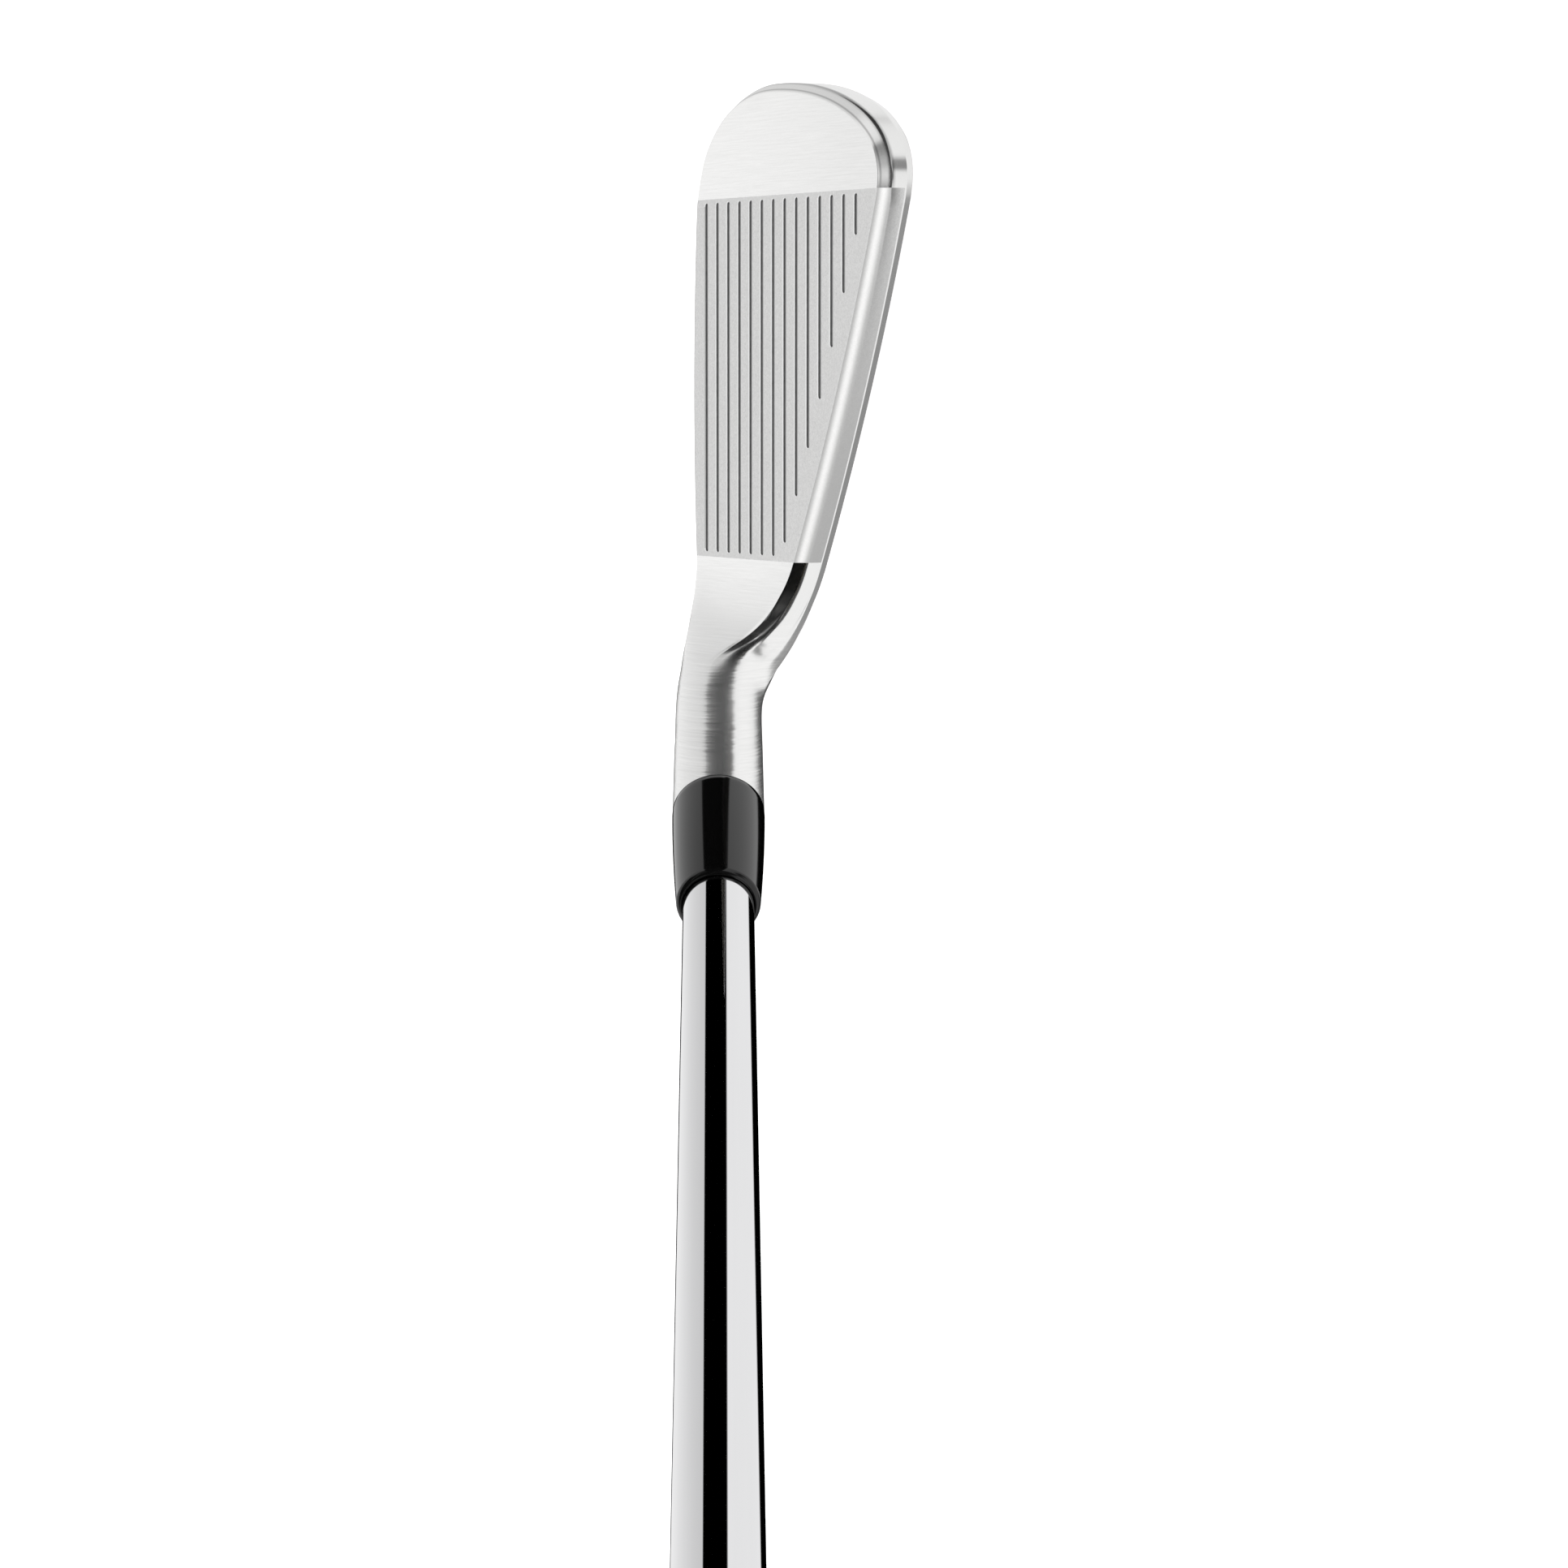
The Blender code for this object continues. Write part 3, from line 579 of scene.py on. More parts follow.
def fine_head():
    """The loft of the head, closed, with its bore. The middle of the face is
    one polygon, with a ring of small ones left round it."""
    rings = head_rings(LOOK)
    bm = bmesh.new()
    n = len(rings[0])
    nf, nb = LOOK["face"], LOOK["back"]
    half = (n - nf - nb) // 2
    loops = [[bm.verts.new(p * MM) for p in ring] for ring in rings[:-1]]
    tip_ring = rings[-1]
    tip = [None] * n
    rim_v = [bm.verts.new(tip_ring[nf + k] * MM) for k in range(half + 1)]
    for k in range(half + 1):
        tip[nf + k] = rim_v[k]
        tip[(n - k) % n] = rim_v[k]
    for k in range(1, nf):
        tip[k] = rim_v[0]
    for k in range(1, nb):
        tip[nf + half + k] = rim_v[half]
    loops.append(tip)
    inner = []
    heel_ring = len(LOOK["hosel"]) + LOOK["neck"] - 1
    for r, (a, b) in enumerate(zip(loops, loops[1:])):
        for i in range(n):
            j = (i + 1) % n
            quad = []
            for v in (a[i], a[j], b[j], b[i]):
                if v not in quad:
                    quad.append(v)
            if len(quad) >= 3:
                f = bm.faces.new(quad)
                if 0 < i < nf - 1 and heel_ring <= r < len(loops) - 4:
                    inner.append(f)
    angles = ring_angles(LOOK)
    bore = [[bm.verts.new(about_axis(s, r, angles[i]) * MM) for i in range(n)]
            for s, r in ((HOSEL_TOP, BORE_R + 0.25), (HOSEL_TOP - 0.25, BORE_R), (BORE_BOTTOM, BORE_R))]
    chain = [loops[0]] + bore
    for a, b in zip(chain, chain[1:]):
        strip(bm, a, b)
    bm.faces.new(list(reversed(bore[-1])))
    bmesh.ops.dissolve_faces(bm, faces=inner, use_verts=False)
    bmesh.ops.recalc_face_normals(bm, faces=bm.faces[:])
    # the muscle of the sole runs out round the toe in one smooth hollow
    for reach, turns in ((0.0, 12), (1.5, 24), (3.0, 30), (4.5, 20)):
        hollow = []
        for v in bm.verts:
            w, h, d = face_coords(v.co)
            above = v.co.z / MM - GROUND.z
            if 44.0 + reach < w < 68.0 - reach and d > 4.6 + reach * 0.3 and above > 1.6 + reach and h < 22.0 - reach:
                hollow.append(v)
        for _ in range(turns):
            bmesh.ops.smooth_vert(bm, verts=hollow, factor=0.5, use_axis_x=True, use_axis_y=True, use_axis_z=True)
    return bm


# groove cross-section: half width and depth, from above the face to the floor
GROOVE = ((0.73, -0.12), (0.59, 0.0), (0.47, 0.10), (0.43, 0.17), (0.37, 0.29),
          (0.27, 0.38), (0.12, LINE_DEPTH))


def groove_cutters(bm):
    for i in range(LINE_COUNT):
        h0 = i * LINE_PITCH
        wa, wb = line_heel(i) + 0.45, LINE_TOE_W - 0.45
        rows = []
        for r, d in GROOVE:
            row = []
            for end, sgn in ((wb, 1.0), (wa, -1.0)):
                for k in range(13):
                    a = math.radians(-90 + 15 * k)
                    row.append(bm.verts.new(on_face(end + sgn * r * math.cos(a),
                                                    h0 + sgn * r * math.sin(a), d) * MM))
            rows.append(row)
        fs = [bm.faces.new(rows[0]), bm.faces.new(list(reversed(rows[-1])))]
        n = len(rows[0])
        for a, b in zip(rows, rows[1:]):
            for k in range(n):
                m = (k + 1) % n
                fs.append(bm.faces.new((a[k], b[k], b[m], a[m])))
        bmesh.ops.recalc_face_normals(bm, faces=fs)


def even_outline(pts, step):
    """The closed outline stepped evenly along a smooth curve through it."""
    n = len(pts)
    vs = [Vector(p) for p in pts]
    length = [(vs[(i + 1) % n] - vs[i]).length for i in range(n)]
    keep = [i for i in range(n) if length[i] > 0.05]
    vs = [vs[i] for i in keep]
    n = len(vs)
    seg = [(vs[(i + 1) % n] - vs[i]).length for i in range(n)]
    tan = []
    for i in range(n):
        a, b, c = vs[i - 1], vs[i], vs[(i + 1) % n]
        u, v = (b - a), (c - b)
        tan.append((u / u.length * v.length + v / v.length * u.length) / (u.length + v.length))
    out = []
    for i in range(n):
        j = (i + 1) % n
        m = max(1, int(round(seg[i] / step)))
        for k in range(m):
            t = k / m
            out.append((2 * t ** 3 - 3 * t ** 2 + 1) * vs[i] + (t ** 3 - 2 * t ** 2 + t) * seg[i] * tan[i]
                       + (-2 * t ** 3 + 3 * t ** 2) * vs[j] + (t ** 3 - t ** 2) * seg[i] * tan[j])
    return out


def offset_outline(vs, dist):
    """Each point moved out along its normal; dist is one number or one each."""
    n = len(vs)
    area = sum(vs[i].x * vs[(i + 1) % n].y - vs[(i + 1) % n].x * vs[i].y for i in range(n))
    sign = 1.0 if area > 0 else -1.0
    out = []
    for i in range(n):
        t = (vs[(i + 1) % n] - vs[i - 1]).normalized()
        d = dist if isinstance(dist, (int, float)) else dist[i]
        out.append(vs[i] + Vector((t.y, -t.x)) * (sign * d))
    return out


def cavity_cutter(bm, skin):
    """The back cavity: flat floor, a fillet up to the walls, and a rolled rim
    that follows the back surface."""
    base = even_outline(pocket_outline(0.0), 0.8)
    n = len(base)
    rim_r, floor_r = 0.9, 0.8
    away = (on_face(0, 0, 1.0) - on_face(0, 0, 0.0)).normalized()
    exit_d = []
    for p in base:
        start = on_face(p.x, p.y, FACE_THICK) * MM
        hit = skin.ray_cast(start, away)
        exit_d.append(FACE_THICK + (hit[0] - start).length / MM if hit[0] is not None else 8.0)
    exit_d = [min(exit_d[(i + k) % n] for k in range(-4, 5)) for i in range(n)]
    for _ in range(8):
        exit_d = [(exit_d[i - 1] + 2 * exit_d[i] + exit_d[(i + 1) % n]) / 4 for i in range(n)]
    rows = []
    for k in range(5):                       # floor fillet
        a = math.radians(90 * k / 4)
        rows.append((offset_outline(base, -floor_r * (1 - math.sin(a))),
                     [FACE_THICK + floor_r * (1 - math.cos(a))] * n))
    for k in range(7):                       # rim roll, up to 68 degrees
        a = math.radians(68 * k / 6)
        rows.append((offset_outline(base, rim_r * (1 - math.cos(a))),
                     [max(FACE_THICK + floor_r + 0.2, e - rim_r) + rim_r * math.sin(a) for e in exit_d]))
    a = math.radians(68)
    rows.append((offset_outline(base, rim_r * (1 - math.cos(a)) + 2.4 * math.sin(a)),
                 [max(FACE_THICK + floor_r + 0.2, e - rim_r) + rim_r * math.sin(a) + 2.4 * math.cos(a)
                  for e in exit_d]))
    rows.append((rows[-1][0], [30.0] * n))
    vs = [[bm.verts.new(on_face(p.x, p.y, d) * MM) for p, d in zip(ps, ds)] for ps, ds in rows]
    fs = [bm.faces.new(vs[0]), bm.faces.new(list(reversed(vs[-1])))]
    for a, b in zip(vs, vs[1:]):
        for i in range(n):
            j = (i + 1) % n
            fs.append(bm.faces.new((a[i], b[i], b[j], a[j])))
    bmesh.ops.recalc_face_normals(bm, faces=fs)


def face_coords(co):
    """Metres in the part's frame to (w, h, d) in millimetres."""
    p = co / MM - on_face(0.0, 0.0)
    return -p.x, p.y * SL + p.z * CL, p.y * CL - p.z * SL


def make_head(mats):
    bm = fine_head()
    skin = BVHTree.FromBMesh(bm)
    ob = finish_mesh("iron_head_fine", bm, [])
    tool_bm = bmesh.new()
    groove_cutters(tool_bm)
    cavity_cutter(tool_bm, skin)
    tool = finish_mesh("relief_tool", tool_bm, [])
    md = ob.modifiers.new("relief", 'BOOLEAN')
    md.operation = 'DIFFERENCE'
    md.solver = 'MANIFOLD'
    md.object = tool
    dg = bpy.context.evaluated_depsgraph_get()
    me = bpy.data.meshes.new_from_object(ob.evaluated_get(dg))
    old = ob.data
    ob.modifiers.clear()
    ob.data = me
    bpy.data.meshes.remove(old)
    bpy.data.objects.remove(tool)
    me.name = "iron_head_fine"
    if len(me.polygons) < 1000:
        raise RuntimeError("the head's relief cut came out empty")
    me.materials.clear()
    for m in mats:
        me.materials.append(m)
    for p in me.polygons:
        w, h, d = face_coords(p.center)
        nrm = p.normal
        facing = -(nrm.y * CL - nrm.z * SL)          # 1 on the face, -1 behind
        inside = HEEL_W + 0.3 < w < LINE_TOE_W + 0.3 and h < top_h(w) - 2.0 and h > -0.9
        if inside and 0.02 < d < LINE_DEPTH + 0.05:
            p.material_index = 1
        elif d > FACE_THICK - 0.05 and d < FACE_THICK + 0.05 and facing < -0.98:
            p.material_index = 2
    me.shade_smooth()
    me.set_sharp_from_angle(angle=math.radians(27))
    for p in me.polygons:                            # the flat of the face stays flat
        if -(p.normal.y * CL - p.normal.z * SL) > 0.99995:
            p.use_smooth = False
    return ob


def lathe(name, profile, mats, steps, closed=True, warp=None, sharp_deg=35.0, start_deg=0.0):
    """Solid of revolution about the shaft axis from (radius, distance) pairs;
    warp(r, s, phi) may change a point's radius."""
    bm = bmesh.new()
    rows = []
    for r, s in profile:
        if r < 1e-6:
            rows.append([bm.verts.new(about_axis(s, 0.0, 0.0) * MM)] * steps)
            continue
        row = []
        for k in range(steps):
            phi = 2 * math.pi * k / steps + math.radians(start_deg)
            rr = warp(r, s, phi) if warp else r
            row.append(bm.verts.new(about_axis(s, rr, phi) * MM))
        rows.append(row)
    pairs = list(zip(rows, rows[1:]))
    if closed:
        pairs.append((rows[-1], rows[0]))
    for a, b in pairs:
        for i in range(steps):
            j = (i + 1) % steps
            quad = []
            for v in (a[i], b[i], b[j], a[j]):
                if v not in quad:
                    quad.append(v)
            if len(quad) >= 3:
                bm.faces.new(quad)
    bmesh.ops.recalc_face_normals(bm, faces=bm.faces[:])
    return finish_mesh(name, bm, mats, sharp_deg)


# ------------------------------------------------------------ node helpers
class Graph:
    def __init__(self, tree):
        self.t = tree
        self.x = -1600

    def add(self, kind, **props):
        n = self.t.nodes.new(kind)
        n.location = (self.x, 0)
        self.x += 40
        for k, v in props.items():
            setattr(n, k, v)
        return n

    def put(self, sock, v):
        if isinstance(v, bpy.types.NodeSocket):
            self.t.links.new(v, sock)
        elif v is not None:
            sock.default_value = v

    def m(self, op, a, b=None, c=None, clamp=False):
        n = self.add('ShaderNodeMath', operation=op, use_clamp=clamp)
        for i, v in enumerate((a, b, c)):
            if v is not None:
                self.put(n.inputs[i], v)
        return n.outputs[0]

    def step(self, v, lo, hi, a=0.0, b=1.0):
        """a below lo, b above hi, smooth between."""
        n = self.add('ShaderNodeMapRange', interpolation_type='SMOOTHSTEP')
        for i, x in enumerate((v, lo, hi, a, b)):
            self.put(n.inputs[i], x)
        return n.outputs[0]

    def span(self, v, lo, hi, soft_lo, soft_hi=None):
        """1 between lo and hi, with soft edges centred on them."""
        soft_hi = soft_lo if soft_hi is None else soft_hi
        if isinstance(lo, (int, float)):
            up = self.step(v, lo - soft_lo, lo + soft_lo)
        else:
            up = self.step(self.m('SUBTRACT', v, lo), -soft_lo, soft_lo)
        if isinstance(hi, (int, float)):
            dn = self.step(v, hi - soft_hi, hi + soft_hi, 1.0, 0.0)
        else:
            dn = self.step(self.m('SUBTRACT', v, hi), -soft_hi, soft_hi, 1.0, 0.0)
        return self.m('MULTIPLY', up, dn)

    def dot(self, v, d):
        n = self.add('ShaderNodeVectorMath', operation='DOT_PRODUCT')
        self.put(n.inputs[0], v)
        n.inputs[1].default_value = d
        return n.outputs['Value']

    def vec(self, x, y, z):
        n = self.add('ShaderNodeCombineXYZ')
        for i, v in enumerate((x, y, z)):
            self.put(n.inputs[i], v)
        return n.outputs[0]

    def noise(self, vec, scale=1.0, detail=2.0, rough=0.5, dim='3D'):
        n = self.add('ShaderNodeTexNoise', noise_dimensions=dim)
        self.put(n.inputs['Vector'], vec)
        n.inputs['Scale'].default_value = scale
        n.inputs['Detail'].default_value = detail
        n.inputs['Roughness'].default_value = rough
        return n.outputs[0]

    def mixf(self, t, a, b):
        n = self.add('ShaderNodeMix', data_type='FLOAT')
        self.put(n.inputs[0], t)
        self.put(n.inputs[2], a)
        self.put(n.inputs[3], b)
        return n.outputs[0]

    def grey(self, v, tint=(1.0, 1.0, 1.0)):
        n = self.add('ShaderNodeCombineColor')
        for i in range(3):
            self.put(n.inputs[i], v if tint[i] == 1.0 else self.m('MULTIPLY', v, tint[i]))
        return n.outputs[0]

    def bump(self, height, strength, dist, normal=None):
        n = self.add('ShaderNodeBump')
        self.put(n.inputs['Height'], height)
        self.put(n.inputs['Strength'], strength)
        n.inputs['Distance'].default_value = dist
        if normal is not None:
            self.put(n.inputs['Normal'], normal)
        return n.outputs[0]


def new_material(name):
    m = bpy.data.materials.new(name)
    m.use_nodes = True
    bsdf = m.node_tree.nodes["Principled BSDF"]
    return m, Graph(m.node_tree), bsdf


def club_coords(g):
    """Object coordinates turned into the club's own directions, millimetres:
    w to the toe, h up the face, d behind it, and s along the shaft."""
    co = g.add('ShaderNodeTexCoord').outputs['Object']
    o = on_face(0.0, 0.0) * MM
    w = g.m('MULTIPLY_ADD', g.dot(co, (-1.0, 0.0, 0.0)), 1000.0, o.x * 1000.0)
    dv, hv = Vector((0.0, CL, -SL)), Vector((0.0, SL, CL))
    h = g.m('MULTIPLY_ADD', g.dot(co, hv), 1000.0, -hv.dot(o) * 1000.0)
    d = g.m('MULTIPLY_ADD', g.dot(co, dv), 1000.0, -dv.dot(o) * 1000.0)
    s = g.m('MULTIPLY_ADD', g.dot(co, AXIS), 1000.0, -AXIS.dot(GROUND))
    return co, w, h, d, s


# --------------------------------------------------------------- materials
STEEL = 0.94                    # reflectance of the nickel-chrome finish


def head_material():
    """Nickel-chrome plated steel: fine brushing on the face and the hosel, a
    bright polish on the edges, and a blasted panel over the score lines."""
    m, g, b = new_material("head_steel")
    co, w, h, d, s = club_coords(g)
    geo = g.add('ShaderNodeNewGeometry')
    nrm = geo.outputs['Normal']
    facing = g.dot(nrm, (0.0, -CL, SL))

    # zones
    panel_w = g.span(w, HEEL_W, 58.05, 0.035)
    front = g.step(d, 3.66, 3.72, 1.0, 0.0)
    sole_side = g.m('MULTIPLY', g.step(d, 0.25, 0.45), g.step(h, 3.0, 6.0, 1.0, 0.0))
    panel = g.m('MULTIPLY', g.m('MULTIPLY', panel_w, front), g.m('SUBTRACT', 1.0, sole_side))
    blade = g.step(w, -8.0, 1.0)                    # 0 on the hosel, 1 on the blade
    edge = g.m('MULTIPLY', g.step(facing, 0.80, 0.93, 1.0, 0.0), blade)

    # brushing: long thin streaks, across the blade and round the hosel
    along_blade = g.vec(g.m('MULTIPLY', w, 3.3), g.m('MULTIPLY', h, 0.10), g.m('MULTIPLY', d, 0.10))
    up = (-math.sin(LIE), 0.0, math.cos(LIE))
    cross = g.m('MULTIPLY', g.dot(co, up), 180.0)
    side = g.m('MULTIPLY', g.dot(co, (0.0, 1.0, 0.0)), 180.0)
    round_hosel = g.vec(g.m('MULTIPLY', w, 5.2), g.m('MULTIPLY', cross, 0.6), g.m('MULTIPLY', side, 0.6))
    n_blade = g.noise(along_blade, 1.0, 4.0, 0.62)
    n_hosel = g.noise(round_hosel, 1.0, 4.0, 0.62)
    streak = g.mixf(blade, n_hosel, n_blade)
    fine = g.noise(g.vec(g.m('MULTIPLY', w, 11.0), g.m('MULTIPLY', h, 0.45), g.m('MULTIPLY', d, 0.45)), 1.0, 2.0, 0.5)
    cloud = g.noise(co, 38.0, 2.0, 0.5)

    # blasted grain
    grain = g.noise(co, 5200.0, 2.0, 0.6)
    pits = g.noise(co, 2300.0, 1.0, 0.5)

    sv = g.m('ADD', g.m('MULTIPLY', g.m('SUBTRACT', streak, 0.5), 0.16),
             g.m('MULTIPLY', g.m('SUBTRACT', fine, 0.5), 0.06))
    bright = g.m('ADD', STEEL, g.m('MULTIPLY', sv, g.m('SUBTRACT', 1.0, edge)))
    bright = g.m('ADD', bright, g.m('MULTIPLY', g.m('SUBTRACT', cloud, 0.5), 0.03), clamp=True)
    blasted = g.m('ADD', 0.78, g.m('ADD', g.m('MULTIPLY', g.m('SUBTRACT', grain, 0.5), 0.34),
                                   g.m('MULTIPLY', g.m('SUBTRACT', pits, 0.5), 0.18)))
    # painted shade on the blasted top line, darkest at the ridge and fading outwards
    on_top = g.step(g.dot(nrm, (0.0, SL, CL)), 0.88, 0.96)
    top_line_painted_shade = g.step(d, 1.4, 3.8, 0.32, 1.02)
    on_bevel = g.m('MULTIPLY', g.step(facing, 0.86, 0.95, 1.0, 0.0), g.m('SUBTRACT', 1.0, on_top))
    # painted highlight across the blasted bevel, brightest a little in from the face edge and dimmer towards the
    # ridge
    bevel_painted_sheen = g.m('MULTIPLY', g.step(d, 0.0, 0.75, 0.62, 1.24), g.step(d, 0.80, 1.50, 1.0, 0.58))
    soft = g.m('ADD', g.m('MULTIPLY', g.m('SUBTRACT', blasted, 0.78), 0.35), 0.80)
    blasted = g.mixf(on_bevel, g.m('MULTIPLY', blasted, g.mixf(on_top, 1.0, top_line_painted_shade)), g.m('MULTIPLY', soft, bevel_painted_sheen))
    # painted shade: on the blade the polished steel is painted a little lighter low on the face and darker towards
    # the top
    bright = g.m('MULTIPLY', bright, g.mixf(blade, 1.0, g.step(h, -5.0, 55.0, 1.02, 0.94)), clamp=True)
    # painted dark lines, standing in for reflections, where the polished toe bevel meets the face and the toe flat
    at_toe = g.m('MULTIPLY', g.step(w, 56.0, 60.0), edge)
    wear_and_painted_lines = g.m('ADD', g.m('MULTIPLY', g.span(d, 0.22, 0.42, 0.09), 0.42),
               g.m('MULTIPLY', g.span(d, 1.25, 1.95, 0.30), 0.50))
    bright = g.m('MULTIPLY', bright, g.m('SUBTRACT', 1.0, g.m('MULTIPLY', wear_and_painted_lines, at_toe)))
    col = g.mixf(panel, bright, blasted)
    g.put(b.inputs['Base Color'], g.grey(col, (1.0, 0.998, 0.99)))
    # the bevel turns satin over the last few millimetres before the panel
    satin = g.m('MULTIPLY', g.m('MULTIPLY', at_toe, g.step(w, 64.0, 59.5)), g.step(d, 1.05, 1.45, 1.0, 0.0))
    metal = g.m('SUBTRACT', g.mixf(blade, 0.985, 1.0), g.m('ADD', g.m('MULTIPLY', at_toe, 0.11), g.m('MULTIPLY', satin, 0.52)))
    g.put(b.inputs['Metallic'], g.mixf(panel, metal, 0.10))

    rough = g.mixf(edge, g.mixf(blade, 0.245, 0.20), 0.17)
    rough = g.m('ADD', rough, g.m('MULTIPLY', g.m('SUBTRACT', streak, 0.5), 0.04))
    rough = g.mixf(panel, rough, g.m('ADD', 0.50, g.m('MULTIPLY', g.m('SUBTRACT', grain, 0.5), 0.2)))
    g.put(b.inputs['Roughness'], rough)

    # each brush line tips the surface a little round the hosel
    tang = g.add('ShaderNodeVectorMath', operation='CROSS_PRODUCT')
    tang.inputs[0].default_value = AXIS
    g.put(tang.inputs[1], nrm)
    toe_side = g.m('MAXIMUM', g.dot(nrm, (-1.13, 0.0, 0.0)), 0.0)
    neck = g.step(s, 40.0, 33.0)
    lean = g.m('MULTIPLY', g.m('POWER', toe_side, 4.0), g.mixf(neck, 0.10, 0.18))
    rear = g.m('MAXIMUM', g.dot(nrm, (0.0, 1.0, 0.0)), 0.0)
    lean = g.m('ADD', lean, g.m('MULTIPLY', g.m('POWER', rear, 4.0), 0.09))
    tip_by = g.m('MULTIPLY', g.m('ADD', g.m('MULTIPLY', g.m('SUBTRACT', n_hosel, 0.5), 0.24), lean),
                 g.m('POWER', g.m('SUBTRACT', 1.0, blade), 2.0))
    sc = g.add('ShaderNodeVectorMath', operation='SCALE')
    g.put(sc.inputs[0], tang.outputs[0])
    g.put(sc.inputs['Scale'], tip_by)
    addn = g.add('ShaderNodeVectorMath', operation='ADD')
    g.put(addn.inputs[0], nrm)
    g.put(addn.inputs[1], sc.outputs[0])
    nn = g.add('ShaderNodeVectorMath', operation='NORMALIZE')
    g.put(nn.inputs[0], addn.outputs[0])
    lines = g.bump(g.m('MULTIPLY', streak, g.m('SUBTRACT', 1.0, edge)), g.m('SUBTRACT', 1.0, panel), 0.0000022, nn.outputs[0])
    blast = g.bump(g.m('ADD', grain, pits), panel, 0.0000085, lines)
    g.put(b.inputs['Normal'], blast)
    return m


def groove_material():
    """Milled score lines, mostly darker than the blasted face, with light and shade painted in by depth: a painted
    highlight on the top chamfer, painted shade down the walls and a mid grey floor.
    """
    m, g, b = new_material("score_lines")
    co, w, h, d, s = club_coords(g)
    n = g.noise(g.vec(g.m('MULTIPLY', w, 1.2), g.m('MULTIPLY', h, 9.0), d), 1.0, 3.0, 0.6)
    # painted highlight on the top chamfer, painted shade on the walls, mid grey on the floor
    v = g.mixf(g.step(d, 0.09, 0.13), 0.97, g.mixf(g.step(d, 0.30, 0.40), 0.09, 0.40))
    v = g.m('ADD', v, g.m('MULTIPLY', g.m('SUBTRACT', n, 0.5), 0.12))
    g.put(b.inputs['Base Color'], g.grey(v))
    b.inputs['Metallic'].default_value = 0.3
    g.put(b.inputs['Roughness'], g.m('ADD', 0.40, g.m('MULTIPLY', n, 0.15)))
    g.put(b.inputs['Normal'], g.bump(n, 0.6, 0.000006))
    return m


def cavity_material():
    """Blasted floor of the back cavity, seen round the badge."""
    m, g, b = new_material("cavity_floor")
    co = g.add('ShaderNodeTexCoord').outputs['Object']
    n = g.noise(co, 3200.0, 2.0, 0.6)
    g.put(b.inputs['Base Color'], g.grey(g.m('ADD', 0.38, g.m('MULTIPLY', n, 0.16))))
    b.inputs['Metallic'].default_value = 0.8
    g.put(b.inputs['Roughness'], g.m('ADD', 0.45, g.m('MULTIPLY', n, 0.15)))
    g.put(b.inputs['Normal'], g.bump(n, 0.8, 0.00001))
    return m


def chrome_material():
    """Mirror chrome of the shaft, with the faint lengthwise polish."""
    m, g, b = new_material("shaft_chrome")
    co, w, h, d, s = club_coords(g)
    n = g.noise(g.vec(g.m('MULTIPLY', s, 0.02), g.m('MULTIPLY', g.dot(co, (0, 1, 0)), 900.0),
                      g.m('MULTIPLY', g.dot(co, (-math.sin(LIE), 0, math.cos(LIE))), 900.0)), 1.0, 2.0, 0.5)
    cloud = g.noise(co, 24.0, 2.0, 0.5)
    v = g.m('ADD', 0.80, g.m('ADD', g.m('MULTIPLY', n, 0.03), g.m('MULTIPLY', cloud, 0.02)))
    g.put(b.inputs['Base Color'], g.grey(v, (1.0, 1.0, 1.01)))
    b.inputs['Metallic'].default_value = 1.0
    g.put(b.inputs['Roughness'], g.m('ADD', 0.028, g.m('MULTIPLY', cloud, 0.02)))
    g.put(b.inputs['Normal'], g.bump(n, 0.5, 0.0000004))
    return m


def ferrule_material():
    """Turned and solvent-polished black plastic."""
    m, g, b = new_material("ferrule_black")
    co, w, h, d, s = club_coords(g)
    turn = g.noise(g.vec(g.m('MULTIPLY', s, 5.0), g.m('MULTIPLY', g.dot(co, (0, 1, 0)), 60.0), 0.0), 1.0, 2.0, 0.5)
    speck = g.noise(co, 1800.0, 2.0, 0.6)
    g.put(b.inputs['Base Color'], g.grey(g.m('ADD', 0.0015, g.m('MULTIPLY', speck, 0.003))))
    g.put(b.inputs['Roughness'], g.m('ADD', 0.075, g.m('MULTIPLY', turn, 0.05)))
    b.inputs['IOR'].default_value = 1.5
    g.put(b.inputs['Normal'], g.bump(speck, 0.5, 0.0000012))
    return m


